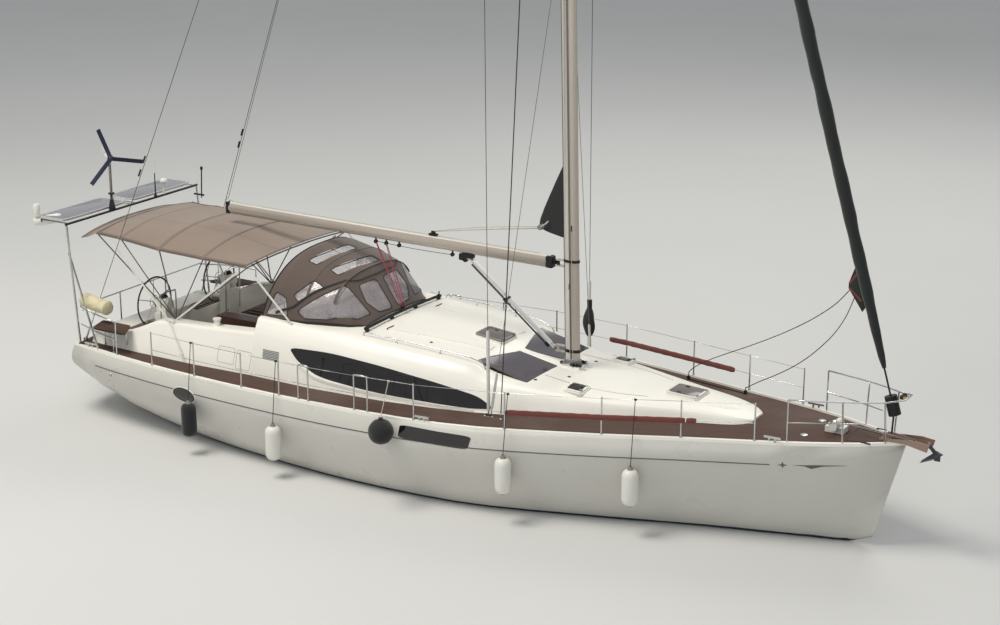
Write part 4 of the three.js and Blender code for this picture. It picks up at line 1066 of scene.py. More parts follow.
# Bimini bows: x, crown height, edge height, half width
BIMINI = [
    (-6.9, 3.39, 3.29, 1.33),
    (-6.33, 3.44, 3.27, 1.36),
    (-5.4, 3.47, 3.215, 1.45),
    (-4.45, 3.42, 3.19, 1.45),
    (-3.5, 3.25, 3.19, 1.45),
]
# Sprayhood sections: x, half width, foot height, crown height
HOOD = [
    (-3.42, 1.35, 2.15, 3.32),
    (-2.9, 1.34, 2.25, 3.36),
    (-2.4, 1.32, 2.29, 3.24),
    (-1.95, 1.19, 2.31, 3.09),
    (-1.68, 1.08, 2.31, 2.70),
    (-1.46, 0.9, 2.31, 2.375),
]
# Windows of the hood, as x and degrees round from the port foot
HOOD_WINDOWS = {
    "aft_roof": [(-2.74, 117), (-2.55, 118), (-2.46, 82), (-2.64, 82)],
    "fore_roof": [(-2.31, 117), (-2.13, 120), (-1.99, 81), (-2.18, 81)],
    "side_eye": [(-2.68, 158), (-2.4, 136), (-2.2, 141), (-2.56, 163)],
    "side_flap": [(-3.02, 157), (-3.2, 175), (-2.76, 176), (-2.8, 162)],
    "side": [(-2.56, 171), (-2.2, 152), (-1.9, 126), (-1.54, 126), (-1.6, 158), (-1.98, 175), (-2.44, 176)],
    "front": [(-1.84, 113), (-1.82, 92), (-1.5, 92), (-1.52, 112), (-1.66, 119)],
}
# The zip band between the hood's top and its window panels
HOOD_BAND = [(-3.0, 174), (-2.62, 167), (-2.3, 148), (-2.05, 130), (-1.9, 112), (-1.87, 90)]
# The hem along its port foot
HOOD_HEM = [(-3.3, 178.6), (-2.6, 178.6), (-2.0, 178.6), (-1.7, 178.6), (-1.5, 178)]


def arc_length(points):
    return sum((b - a).length for a, b in zip(points, points[1:]))


def bimini_at(x, share, over=0.0):
    """Point of the bimini's cloth, which sags a little between its bows and draws in at the edge."""
    _, crown, edge, half = bimini_row(x)
    bays = [r[0] for r in BIMINI]
    i = max(k for k in range(len(bays) - 1) if k == 0 or bays[k] <= x)
    t = min(max((x - bays[i]) / (bays[i + 1] - bays[i]), 0), 1)
    sag = 4 * t * (1 - t)
    half -= 0.03 * sag
    z = edge + (crown - edge) * (1 - abs(share) ** 2.4) - 0.014 * sag * (1 - 0.3 * abs(share))
    return Vector((x, share * half, z + over))


def bimini_row(x):
    for low, high in zip(BIMINI, BIMINI[1:]):
        if x <= high[0]:
            break
    t = min(max((x - low[0]) / (high[0] - low[0]), 0), 1)
    return tuple(a + (b - a) * t for a, b in zip(low, high))


class YACHT_OT_bimini(bpy.types.Operator):
    """Stretches the bimini over its bows, with hems, bow pockets and webbing straps"""

    bl_idname = "yacht.bimini"
    bl_label = "Bimini"

    def execute(self, context):
        x0, x1 = BIMINI[0][0], BIMINI[-1][0]
        obj = grid(48, 64, lambda u, v: bimini_at(x0 + (x1 - x0) * v, 2 * u - 1))
        modified(obj, "SOLIDIFY", thickness=sizes().canvas, offset=-1)
        fit(obj, "bimini_cloth", "canopy")
        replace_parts(obj, "bimini")
        across = arc_length([bimini_at(-5.4, s / 20) for s in range(-20, 21)])
        along = arc_length([bimini_at(x0 + (x1 - x0) * k / 40, 0) for k in range(41)])
        trims = []
        for x, *_ in BIMINI:
            shift = {x0: 0.03, x1: -0.03}.get(x, 0)
            bow = [bimini_at(x + shift, s / 16, 0.001) for s in range(-16, 17)]
            trims.append(tape(bow, UP, 0.06 if shift else 0.075, 0.004))
        for side in SIDES.values():
            edge = [bimini_at(x, side * 0.985) for x in spread(x0, x1, 60)]
            trims.append(tape(edge, (0, side * 0.6, 0.8), 0.07, 0.006))
        hem = joined(trims)
        fit(hem, "bimini_trim", "bimini_hem")
        straps = []
        for side in SIDES.values():
            for start, end in (
                ((-3.47, side * 1.43, 3.15), on_roof(-2.62, side * 1.42, 0.012)),
                ((-6.44, side * 1.405, 3.17), (-5.2, side * 1.47, 1.965)),
                ((-5.2, side * 1.47, 1.965), (-4.75, side * 1.725, 1.52)),
                ((-3.72, side * 1.42, 3.05), (-5.12, side * 1.47, 1.975)),
            ):
                run = [Vector(start).lerp(Vector(end), share) for share in spread(0, 1, 6)]
                straps.append(tape(run, (0.2, side, 0.1), 0.034, 0.004))
                straps.append(block(end, (0.05, 0.03, 0.025), 0.006))
        fit(joined(straps), "bimini_straps", "white_cloth")
        return {"FINISHED"}


def hood_at(x, degrees, over=0.0):
    """Point of the sprayhood's cloth."""
    x = min(max(x, HOOD[0][0]), HOOD[-1][0])
    for low, high in zip(HOOD, HOOD[1:]):
        if x <= high[0]:
            break
    t = (x - low[0]) / (high[0] - low[0])
    half, foot, crown = (a + (b - a) * t for a, b in zip(low[1:], high[1:]))
    angle = math.radians(min(max(degrees, 0), 180))
    across = math.copysign(abs(math.cos(angle)) ** 0.75, math.cos(angle))
    up = max(math.sin(angle), 0) ** 0.75
    return Vector((x, across * (half + over), foot + (crown - foot + over) * up))


def hood_aft(degrees):
    """Where the hood's aft edge is, which leans forward as it rises."""
    z = hood_at(-3.15, degrees).z
    return -3.33 + max(z - 2.23, 0) * 0.307


# Degrees round the hood that count as one metre where an outline or a line is made smooth
DEGREES_A_METRE = 60


def over_hood(x, turned_by, over=0.0):
    return hood_at(x, turned_by * DEGREES_A_METRE, over)


def mirrored(places):
    return [(x, 180 - degrees) for x, degrees in places]


def hood_tape(places, over, width, thick, steps=6):
    """Strip over the hood through places given as x and degrees."""
    path = smooth_path([(x, degrees / DEGREES_A_METRE, 0) for x, degrees in places], steps)
    outs = [over_hood(p.x, p.y, 0.1) - over_hood(p.x, p.y) for p in path]
    return tape([over_hood(p.x, p.y, over) for p in path], outs, width, thick)


class YACHT_OT_sprayhood(bpy.types.Operator):
    """Stretches the sprayhood over its bows, with clear windows, zip bands and bindings"""

    bl_idname = "yacht.sprayhood"
    bl_label = "Sprayhood"

    def execute(self, context):
        def place_at(u, v):
            aft = hood_aft(180 * u)
            return hood_at(aft + (HOOD[-1][0] - aft) * v, 180 * u)

        hood = grid(96, 56, place_at)
        inward = -1 if hood.data.polygons[0].normal.z > 0 else 1
        modified(hood, "SOLIDIFY", thickness=0.004, offset=inward)
        panes, trims = [], []
        for name, corners in HOOD_WINDOWS.items():
            for shape in [corners] if name.endswith("roof") else [corners, mirrored(corners)]:
                outline = rounded([(x, degrees / DEGREES_A_METRE) for x, degrees in shape], 0.14)
                cut_by(hood, patch(outline, over_hood, -0.06, 0.06))
                panes.append(patch(outline, over_hood, -0.0085, -0.0065, 1.08))
                trims.append(seam(outline, over_hood, 0.008))
        fit(hood, "hood_cloth", "hood")
        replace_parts(hood, "sprayhood")
        fit(joined(panes), "hood_windows", "clear_vinyl", angle=60)
        for places in (HOOD_BAND, mirrored(HOOD_BAND)):
            trims.append(hood_tape(places, 0.002, 0.045, 0.004))
        for places in (HOOD_HEM, mirrored(HOOD_HEM)):
            trims.append(hood_tape(places, 0.003, 0.06, 0.005))
        edge = [hood_at(hood_aft(degrees) + 0.012, degrees, 0.001) for degrees in range(2, 179, 4)]
        trims.append(line(edge, 0.013))
        trims.append(hood_tape([(-1.475, degrees) for degrees in range(4, 178, 12)], 0.003, 0.05, 0.005))
        trim = fit(joined(trims), "hood_trim", "black_cloth", angle=50)
        sewn = []
        for x in (-2.42, -1.955):
            places = [(x, degrees) for degrees in range(24, 157, 12)]
            sewn.append(hood_tape(places, 0.001, 0.04, 0.003))
        sewn = fit(joined(sewn), "hood_seams", "hood")
        around_it = arc_length([hood_at(-2.4, 2 * k) for k in range(91)])
        aft, fore = hood_aft(90), HOOD[-1][0]
        along = arc_length([hood_at(aft + (fore - aft) * k / 40, 90) for k in range(41)])
        return {"FINISHED"}


# Sails

FORESTAY = (Vector((7.29, 0, 2.19)), Vector((1.57, 0, 21.4)))
# Rolled genoa: share of the stay, radius
ROLL = [
    (0.033, 0.03), (0.04, 0.05), (0.06, 0.068), (0.09, 0.088), (0.15, 0.098),
    (0.3, 0.1), (0.45, 0.092), (0.6, 0.08), (0.75, 0.062), (0.9, 0.042), (0.93, 0.02),
]


def along_stay(share):
    return FORESTAY[0].lerp(FORESTAY[1], share)


def roll_radius(share):
    for low, high in zip(ROLL, ROLL[1:]):
        if share <= high[0]:
            break
    t = min(max((share - low[0]) / (high[0] - low[0]), 0), 1)
    return low[1] + (high[1] - low[1]) * t


class YACHT_OT_genoa(bpy.types.Operator):
    """Rolls the genoa on its stay, with the spiral edge of its cover and the clew outside"""

    bl_idname = "yacht.genoa"
    bl_label = "Furled genoa"

    def execute(self, context):
        turn = Vector(UP).rotation_difference(FORESTAY[1] - FORESTAY[0])
        rings = []
        for share in spread(ROLL[0][0], ROLL[-1][0], 190):
            radius = roll_radius(share)
            ring = []
            for angle in around(28):
                spiral = ((angle - share * 90) / (2 * math.pi)) % 1
                lump = 0.006 * math.sin(share * 170 + 2 * angle) * math.sin(share * 61)
                r = radius * (0.93 + 0.07 * spiral) + lump * min(radius * 12, 1)
                out = turn @ Vector((r * math.cos(angle), r * math.sin(angle), 0))
                ring.append(along_stay(share) + out)
            rings.append(ring)
        roll = fit(shell(rings), "genoa_roll", "genoa", angle=60)
        stay = rod(along_stay(0.0118) + Vector((0, 0, 0.0003)), along_stay(0.9999), 0.014)
        fit(stay, "genoa_foil", "black_alloy", angle=60)
        corners = [(6.6, 4.35), (6.78, 3.72), (6.72, 3.62), (6.49, 3.95), (6.49, 4.03)]
        layers = (-0.0135, -0.011, 0.011, 0.0135)
        clew = shell([[Vector((x, y, z)) for x, z in corners] for y in layers])
        modified(clew, "BEVEL", width=0.004, segments=2)
        fit(clew, "genoa_clew", "genoa")
        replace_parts(roll, "furled_genoa")
        bands = []
        for y in (-0.0142, 0.0142):
            bands.append(tape([(6.5, y, 4.02), (6.62, y, 4.2)], ACROSS, 0.03, 0.001))
            bands.append(tape([(6.5, y, 3.96), (6.7, y, 3.78)], ACROSS, 0.03, 0.001))
        fit(joined(bands), "genoa_webbing", "sleeve")
        fit(eyelet((6.545, 0, 3.98), 0.012, 0.022, 0.006), "genoa_ring", "stainless")
        return {"FINISHED"}


# Corner of the mainsail: height, width aft of the mast
MAINSAIL_CORNER = [
    (5.22, 0.004), (5.0, 0.115), (4.75, 0.235), (4.5, 0.352), (4.32, 0.425),
    (4.24, 0.44), (4.17, 0.44), (4.12, 0.28), (4.07, 0.03),
]


def bent_rope(obj, name, look):
    """Names a rope, paints it and moves its place into its mesh."""
    obj.name = name
    obj.data.name = name
    obj.data.materials.clear()
    obj.data.materials.append(finish(look))
    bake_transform(obj)


class YACHT_OT_mainsail(bpy.types.Operator):
    """Cuts the corner of the rolled mainsail, with its ring and the outhaul to the boom"""

    bl_idname = "yacht.mainsail"
    bl_label = "Mainsail clew"

    def execute(self, context):
        rings = []
        for z, width in MAINSAIL_CORNER:
            x = mast_at(z) - 0.1362
            half = [(x, 0.0035), (x - width * 0.5, 0.0039), (x - width, 0.003)]
            ring = [*half, *((a, -y) for a, y in half[::-1])]
            rings.append([(a, y, z) for a, y in ring])
        sail = fit(shell(rings), "mainsail_corner", "black_cloth", "gooseneck", 40)
        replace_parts(sail, "mainsail_clew")
        eye = [(0.026, -0.008), (0.042, -0.008), (0.044, 0), (0.042, 0.008), (0.026, 0.008), (0.026, -0.008)]
        knob = [(0, -0.03), (0.04, -0.03), (0.046, -0.012), (0.046, 0.012), (0.04, 0.03), (0, 0.03)]
        ring = [turned(eye, (1.335, 0, 4.2), ACROSS), turned(knob, (1.3, 0, 4.18), ACROSS)]
        fit(joined(ring), "outhaul_ring", "grey_plastic", "gooseneck")
        tail = line([(1.33, -0.03, 4.2), (1.42, -0.04, 4.26), (1.47, -0.04, 4.31)], 0.011, 4, 3)
        fit(tail, "outhaul_end", "rope_white", "gooseneck", 60)
        car = [
            block((-0.72, 0, 3.795), (0.16, 0.07, 0.03), 0.008),
            block((-0.72, 0, 3.83), (0.08, 0.03, 0.05), 0.01),
        ]
        fit(joined(car), "outhaul_car", "black_alloy", "boom")
        ropes = [
            line([(1.335, 0.012, 4.165), (0.3, 0.02, 4.01), (-0.7, 0.014, 3.845)], 0.009, 4, 3),
            line([(1.33, -0.012, 4.2), (0.3, -0.02, 4.06), (-0.7, -0.014, 3.86)], 0.009, 4, 3),
        ]
        bent_rope(joined(ropes), "outhaul", "rope_white")
        return {"FINISHED"}


# Coachroof and coamings, as smooth skins over the frame's shape

# Coachroof: x, foot half width, side top half width and height, edge half width and height, centre
ROOF = [
    (-3.3, 1.7, 1.56, 2.06, 1.34, 2.35, 2.41), (-2.0, 1.775, 1.59, 2.06, 1.33, 2.32, 2.37),
    (-0.6, 1.76, 1.57, 2.01, 1.3, 2.26, 2.31), (0.3, 1.69, 1.5, 1.95, 1.24, 2.19, 2.25),
    (0.8, 1.62, 1.43, 1.89, 1.19, 2.12, 2.18), (1.0, 1.59, 1.39, 1.85, 1.16, 2.02, 2.08),
    (1.9, 1.38, 1.2, 1.79, 1.0, 1.92, 1.97), (3.0, 1.02, 0.9, 1.78, 0.72, 1.87, 1.91),
    (4.0, 0.68, 0.59, 1.79, 0.43, 1.84, 1.87), (4.6, 0.55, 0.46, 1.765, 0.32, 1.81, 1.83),
    (4.9, 0.475, 0.385, 1.735, 0.25, 1.77, 1.782), (5.08, 0.37, 0.28, 1.7, 0.18, 1.73, 1.738),
    (5.18, 0.23, 0.15, 1.675, 0.09, 1.693, 1.697), (5.22, 0.08, 0.05, 1.662, 0.025, 1.67, 1.671),
]
# Cockpit coaming: x, foot half width, top half width, top height
COAMING = [
    (-3.304, 1.7, 1.48, 2.07), (-4.5, 1.7, 1.46, 1.99), (-5.45, 1.66, 1.43, 1.925),
    (-5.9, 1.64, 1.42, 1.74), (-6.35, 1.61, 1.42, 1.57), (-6.95, 1.56, 1.4, 1.55),
]
SALOON_WINDOW = [
    (-2.56, 1.985), (-1.7, 2.025), (-0.7, 1.965), (0.3, 1.85), (1.0, 1.73),
    (1.33, 1.56), (0.9, 1.53), (-0.9, 1.545), (-1.9, 1.61), (-2.35, 1.79),
]
# Ledge under the saloon window and the post across it, as x and z
WINDOW_LEDGE = [(-2.3, 1.72), (-1.9, 1.575), (-1.2, 1.53), (-0.4, 1.515), (0.5, 1.505), (1.0, 1.5)]
WINDOW_POST = [(-0.12, 1.89), (0.0, 1.7), (0.1, 1.55)]
ROOF_PANE = [(0.74, 1.02), (0.98, 0.07), (1.74, 0.16), (1.67, 1.035)]
# Hatches: x, y, length, width, look of the lid's frame
HATCHES = {
    "saloon_hatch": (0.47, 0, 0.56, 0.5, "grey_plastic"),
    "fore_hatch": (3.95, 0, 0.56, 0.52, "white_plastic"),
    "cabin_hatch_starboard": (2.43, -0.8, 0.33, 0.33, "white_gelcoat"),
    "cabin_hatch_port": (2.43, 0.8, 0.33, 0.33, "white_gelcoat"),
}


def deck_edge(x):
    """Half beam and sheer height at x."""
    return row_at(HULL_EDGE, x)[1:]


def roof_section(x, inset=0.0, drop=0.0, base=None):
    """Half of the roof's section at x, from its foot up to the centreline, as y and z."""
    _, foot, side, side_z, edge, edge_z, centre = row_at(ROOF, x)
    base = deck_edge(x)[1] - 0.03 if base is None else base
    knee = (side + edge) / 2 + 0.025
    half = [
        (side - inset, side_z - drop),
        (knee - inset, edge_z - (edge_z - side_z) * 0.35 - drop),
        (edge - inset, edge_z - drop),
        (edge * 0.5, centre - (centre - edge_z) * 0.25 - drop),
        (0, centre - drop),
    ]
    curve = smooth_path([(max(y, 0.004), 0, z) for y, z in half], 4)
    wall = [
        (foot - inset + (half[0][0] - foot + inset) * share, base + (half[0][1] - base) * share)
        for share in (0, 0.25, 0.5, 0.75)
    ]
    return [*wall, *((p.x, p.z) for p in curve[:-1]), (0.0, centre - drop)]


def roof_ring(x, inset=0.0, drop=0.0, base=None):
    half = roof_section(x, inset, drop, base)
    return [Vector((x, y, z)) for y, z in half] + [Vector((x, -y, z)) for y, z in half[-2::-1]]


def roof_at(x, y):
    """Height of the roof's smooth skin."""
    section = roof_section(x)
    for (y1, z1), (y0, z0) in zip(section[::-1], section[-2::-1]):
        if y0 >= abs(y):
            return z1 + (z0 - z1) * (abs(y) - y1) / max(y0 - y1, 1e-6)
    return section[0][1]


def roof_side(x, z, over=0.0, side=-1):
    """Point on the roof's side wall at x and z."""
    section = roof_section(x)
    for (y0, z0), (y1, z1) in zip(section, section[1:]):
        if z1 >= z:
            break
    y = y0 + (y1 - y0) * (z - z0) / max(z1 - z0, 1e-6)
    return Vector((x, side * (y + over), z))


def on_roof(x, y, over=0.0):
    """Point over the roof."""
    return Vector((x, y, roof_at(x, y) + over))


def frame_ring(centre, turn, outer, inner, low, high):
    """Flat frame with rounded corners, between two heights over its middle."""
    def loop(size, height):
        l, w = size[0] / 2, size[1] / 2
        corners = [(-l, -w), (l, -w), (l, w), (-l, w)]
        return [Vector((p.x, p.y, height)) for p in rounded(corners, 0.14, 4)]

    rings = [loop(outer, low), loop(outer, high), loop(inner, high), loop(inner, low), loop(outer, low)]
    obj = shell(rings, cap=False)
    obj.rotation_euler = turn
    obj.location = centre
    return settle(obj)


def roof_slope(x, y):
    rise = (roof_at(x + 0.1, y) - roof_at(x - 0.1, y)) / 0.2
    roll = (roof_at(x, y + 0.06) - roof_at(x, y - 0.06)) / 0.12
    return math.atan(roll), -math.atan(rise)


class YACHT_OT_coachroof(bpy.types.Operator):
    """Moulds the coachroof, cuts its windows, hatch openings and companionway"""

    bl_idname = "yacht.coachroof"
    bl_label = "Coachroof"

    def execute(self, context):
        rounding = [4.75, 4.88, 4.96, 5.02, 5.07, 5.11, 5.15]
        skin = shell([roof_ring(x) for x in [*spread(-3.3, 4.6, 52), *rounding]])
        inner = shell([roof_ring(x, 0.04, 0.04, 1.1) for x in spread(-3.26, 4.5, 26)])
        cut_by(skin, inner)
        window = rounded(SALOON_WINDOW, 0.3, 4)
        cutters, glass = [], {}
        for name, side in SIDES.items():
            def wall(x, z, over, side=side):
                return roof_side(x, z, over, side)

            cutters.append(patch(window, wall, -0.07, 0.05))
            glass["saloon_window_" + name] = patch(window, wall, -0.016, 0.001, 0.9985)
            outline = [Vector((p.x, side * p.y)) for p in rounded(ROOF_PANE, 0.04, 3)]
            cutters.append(patch(outline, on_roof, -0.08, 0.06))
            glass["roof_pane_" + name] = patch(outline, on_roof, -0.014, 0.002, 0.997)
        for x, y, length, width, _ in HATCHES.values():
            cutters.append(block(on_roof(x, y), (length - 0.14, width - 0.14, 0.3), 0.01))
        cutters.append(block((-2.96, 0, 2.4), (0.8, 0.66, 0.3), 0.004))
        cut_by(skin, joined(cutters))
        cut_by(skin, block((-3.3, 0, 2.0), (0.12, 0.6, 0.88), 0.002))
        fit(skin, "coachroof_skin", "deck_gelcoat", angle=40)
        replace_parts(skin, "coachroof")
        for node, obj in glass.items():
            fit(obj, node + "_glass", "roof_pane" if "roof" in node else "dark_pane", angle=30)
            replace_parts(obj, node)
            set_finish(obj, "dark_pane")
        step = [
            block((1.92, 0, 1.955), (0.36, 0.26, 0.096), 0.02),
            block((1.92, 0, 1.99), (0.3, 0.2, 0.028), 0.006),
        ]
        fit(joined(step), "mast_step", "white_gelcoat")
        for name, side in SIDES.items():
            ledge = smooth_path([roof_side(x, z, 0.006, side) for x, z in WINDOW_LEDGE], 6)
            ledge = tape(ledge, (0, side, 0), 0.05, 0.014)
            fit(ledge, "window_ledge_" + name, "white_gelcoat")
            post = tape([roof_side(x, z, 0.003, side) for x, z in WINDOW_POST], (0, side, 0), 0.035, 0.004)
            fit(post, "window_post_" + name, "black_rubber")
        return {"FINISHED"}


class YACHT_OT_hatches(bpy.types.Operator):
    """Frames each deck hatch and fits its lid with a pane, handles and hinges"""

    bl_idname = "yacht.hatches"
    bl_label = "Hatches"

    def execute(self, context):
        for node, (x, y, length, width, look) in HATCHES.items():
            small = length < 0.4
            turn = (*roof_slope(x, y), 0)
            low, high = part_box(node)
            lid_at = (low + high) / 2
            base = Vector((x, y, lid_at.z - 0.035))
            grow = 0.02 if small else 0.0
            outer = (length + grow, width + grow)
            rim = frame_ring(base, turn, outer, (length - 0.15, width - 0.15), -0.055, 0.0215)
            fit(rim, node + "_frame", "white_gelcoat")
            long, wide = length - 0.024, width - 0.024
            lid = frame_ring(lid_at, turn, (long, wide), (long - 0.07, wide - 0.07), -0.0128, 0.0128)
            modified(lid, "BEVEL", width=0.004, segments=2)
            fit(lid, node + "_lid", look, node)
            glass = block(lid_at, (long - 0.066, wide - 0.066, 0.02), 0.006, turn)
            fit(glass, node + "_pane", "dark_pane" if small else "hatch_pane", node)
            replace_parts(lid, node)
            grips, hinges = [], []
            for side in SIDES.values():
                along, across = -0.12 * length, 0.3 * side * width
                if small:
                    along, across = 0.28 * side * length, 0
                grip = lid_at + Vector((along, across, 0.016))
                grips.append(block(grip, (0.07, 0.018, 0.012), 0.004, turn))
                grips.append(disc(grip - Vector((0, 0, 0.006)), 0.02, 0.018, 0.008, sides=16))
                hinge = lid_at + Vector((length / 2 - 0.036, side * width * 0.3, 0.004))
                hinges.append(block(hinge, (0.034, 0.05, 0.024), 0.005, turn))
            fit(joined(grips), node + "_handles", "black_rubber", node)
            fit(joined(hinges), node + "_hinges", "grey_plastic", node)
        return {"FINISHED"}


# Winches in pairs: x, half distance, height, size
WINCHES = [(-2.15, 1.0, 2.36, 0.85), (-4.25, 1.35, 1.985, 1.1)]
TRAVELLER_X = -1.33


class YACHT_OT_roof_gear(bpy.types.Operator):
    """Fits the grab rails, the traveller, the roof winches, stoppers and line covers"""

    bl_idname = "yacht.roof_gear"
    bl_label = "Roof gear"

    def execute(self, context):
        rails, stoppers, covers, mouth_shadows, marks, pads = ([] for _ in range(6))
        for side in SIDES.values():
            def foot(x, over, side=side):
                return on_roof(x, side * (row_at(ROOF, x)[4] - 0.06), over)

            def level(x, over, side=side):
                return Vector((x, foot(x, 0).y, roof_at(x, 0) + over))

            path = [level(x, 0.018) for x in spread(-1.24, 0.91, 10)]
            path = [foot(-1.28, 0.004), *path, foot(0.95, 0.004)]
            rails.append(line(path, 0.011, 3, 3))
            for x in (-0.64, 0.16):
                rails.append(rod(foot(x, -0.004), level(x, 0.016), 0.01))
            for x in (-1.28, -0.64, 0.16, 0.95):
                rails.append(disc(foot(x, -0.001), 0.026, 0.02, 0.007))
            for k in range(4):
                at = on_roof(-1.88, side * (0.72 + 0.05 * k), 0.024)
                stoppers.append(block(at, (0.17, 0.034, 0.05), 0.01, (0, 0.03, 0)))
            run = zip(spread(0.7, -1.1, 12), spread(0.46, 0.74, 12))
            covers.append(tape([on_roof(x, side * y, 0.003) for x, y in run], UP, 0.2, 0.018))
            # A black block at each cover's open aft end stands for the shade inside the opening: painted
            # shadow
            mouth_shadows.append(block(on_roof(-1.1, side * 0.74, 0.003), (0.03, 0.19, 0.03), 0.004))
            path = [(1.75, 0.62), (2.4, 0.66), (3.0, 0.6), (3.5, 0.45)]
            path = smooth_path([on_roof(x, side * y, 0.0005) for x, y in path], 5)
            marks.append(tape(path, UP, 0.008, 0.003))
            corners = [(4.05, 0.36 * side), (4.72, 0.2 * side), (4.9, 0.04 * side), (4.3, 0.06 * side)]
            pads.append(patch(rounded(corners, 0.25), on_roof, -0.002, 0.002))
        fit(joined(rails), "grab_rails", "stainless", angle=60)

        x = TRAVELLER_X
        ys = spread(-1.1, 1.1, 20)
        beam = [tape([on_roof(x, y, 0.052) for y in ys], UP, 0.036, 0.03)]
        beam += [block(on_roof(x, y, 0.018), (0.06, 0.06, 0.045), 0.008) for y in (-1.08, -0.36, 0.36, 1.08)]
        beam += [block(on_roof(x, y, 0.055), (0.07, 0.07, 0.05), 0.012) for y in (-1.1, 1.1)]
        beam.append(rod(on_roof(x, 1.1, 0.06), on_roof(x, 1.1, 0.14), 0.014, 0.01))
        fit(joined(beam), "traveller_beam", "black_alloy", angle=30)
        fit(tape([on_roof(x, y, 0.072) for y in ys], UP, 0.02, 0.012), "traveller_track", "black_alloy")
        top = roof_at(x, 0)
        car = [
            block((x, -0.03, top + 0.088), (0.05, 0.17, 0.022), 0.006),
            block((x, -0.03, top + 0.115), (0.02, 0.05, 0.05), 0.006),
        ]
        fit(joined(car), "traveller_car", "black_alloy")

        winches = []
        for x, half, z, size in WINCHES:
            profile = [(r * size, h * size) for r, h in WINCH]
            for y in (-half, half):
                winches.append(turned(profile, (x, y, z), sides=40))
                arm = (x + 0.03, y, z + 0.13 * size)
                winches.append(block(arm, (0.09, 0.02, 0.012), 0.004, (0, 0, 0.6)))
        gear = fit(joined(winches), "winches", "chrome", angle=35)
        repaint(gear, "black_alloy", lambda c, n: c.z < (2.365 if c.x > -3 else 1.995))

        fit(joined(stoppers), "stoppers", "black_rubber")
        fit(joined(covers), "line_covers", "white_gelcoat", angle=20)
        fit(joined(mouth_shadows), "line_mouths", "black_rubber")
        fit(joined(marks), "roof_seams", "grey_plastic")
        plugs = ((2.1, -0.45), (1.72, -0.86), (2.1, 0.45), (-0.2, -0.9))
        plugs = [disc(on_roof(x, y, -0.001), 0.03, 0.026, 0.006) for x, y in plugs]
        fit(joined(plugs), "roof_plugs", "black_rubber")
        fit(joined(pads), "grip_panel", "grip")
        return {"FINISHED"}


# Winch profile: radius and height for a size of one
WINCH = [
    (0, -0.06), (0.072, -0.06), (0.072, 0.0), (0.064, 0.01), (0.056, 0.016), (0.051, 0.03),
    (0.047, 0.06), (0.048, 0.09), (0.056, 0.106), (0.066, 0.112), (0.067, 0.118), (0.06, 0.122),
    (0.06, 0.127), (0.067, 0.131), (0.067, 0.141), (0.05, 0.149), (0.022, 0.15), (0.02, 0.143), (0, 0.143),
]


def coaming_at(x):
    """Foot, top and height of the smooth coaming, just outside the frame's, and its base."""
    _, foot, top, top_z = row_at(COAMING, x)
    return foot + 0.012, top + 0.012, top_z + 0.01, deck_edge(x)[1] - 0.02


class YACHT_OT_coamings(bpy.types.Operator):
    """Moulds the smooth outer skin of the cockpit coamings"""

    bl_idname = "yacht.coamings"
    bl_label = "Coamings"

    def execute(self, context):
        panels, vents = [], []
        for name, side in SIDES.items():
            rings = []
            for x in spread(-3.3, -6.95, 48):
                foot, top, top_z, base = coaming_at(x)
                outer = [
                    (foot + 0.003, base),
                    (foot + (top + 0.023 - foot) * 0.5 + 0.002, base + (top_z - 0.06 - base) * 0.5),
                    (top + 0.023, top_z - 0.06),
                    (top + 0.012, top_z - 0.022),
                    (top - 0.012, top_z - 0.001),
                    (top - 0.05, top_z + 0.004),
                    (1.246, top_z + 0.004),
                ]
                inner = [(y - 0.012, z) for y, z in outer[:4]] + [(y, z - 0.012) for y, z in outer[4:]]
                rings.append([Vector((x, side * y, z)) for y, z in [*outer, *inner[::-1]]])
            fit(shell(rings), "coaming_" + name, "deck_gelcoat", angle=50)

            def wall(x, z, over, side=side):
                foot, top, top_z, base = coaming_at(x)
                share = (z - base) / (top_z - 0.06 - base)
                return Vector((x, side * (foot + (top + 0.023 - foot) * share + 0.004 + over), z))

            for x0, x1, z0, z1 in ((-4.04, -3.69, 1.5, 1.76), (-3.64, -3.34, 1.45, 1.75)):
                outline = rounded([(x0, z0), (x1, z0), (x1, z1), (x0, z1)], 0.1, 3)
                panels.append(seam(outline, wall, 0.003, -0.0015))
            for k in range(6):
                slat = [roof_side(x, 1.73 + 0.026 * k, 0.006, side) for x in (-3.08, -2.74)]
                vents.append(tape(slat, (0, side, 0.5), 0.014, 0.006))
        fit(joined(panels), "locker_seams", "grey_plastic")
        fit(joined(vents), "louvre", "grey_plastic")
        return {"FINISHED"}


# Marks, windows and outlets along the hull

HULL_WINDOW = [(0.06, 1.13), (1.26, 1.11), (1.34, 1.34), (0.12, 1.36)]
PORTLIGHT = (-4.37, 0.985)
DIAMOND = [
    (5.83, 0.0), (5.885, 0.014), (5.9, 0.06), (5.915, 0.014),
    (5.97, 0.0), (5.915, -0.014), (5.9, -0.06), (5.885, -0.014),
]
LANCE = [(6.04, 0.006), (6.3, 0.014), (6.78, 0.012), (6.45, -0.006), (6.29, -0.05), (6.2, -0.008)]


def transom_at(y, z, over=0.0):
    """Point aft of the transom."""
    hit = HULL_TREE.ray_cast(Vector((-9.5, y, z)), Vector((1, 0, 0)))[0]
    return Vector((hit.x - over, y, z))


def stripe_z(x):
    return deck_edge(x)[1] - sizes().stripe_drop + 0.012 - 0.0047 * x


def oval(centre, half, count=28):
    return [p.xy for p in ellipse((*centre, 0), (half[0], 0, 0), (0, half[1], 0), count)]


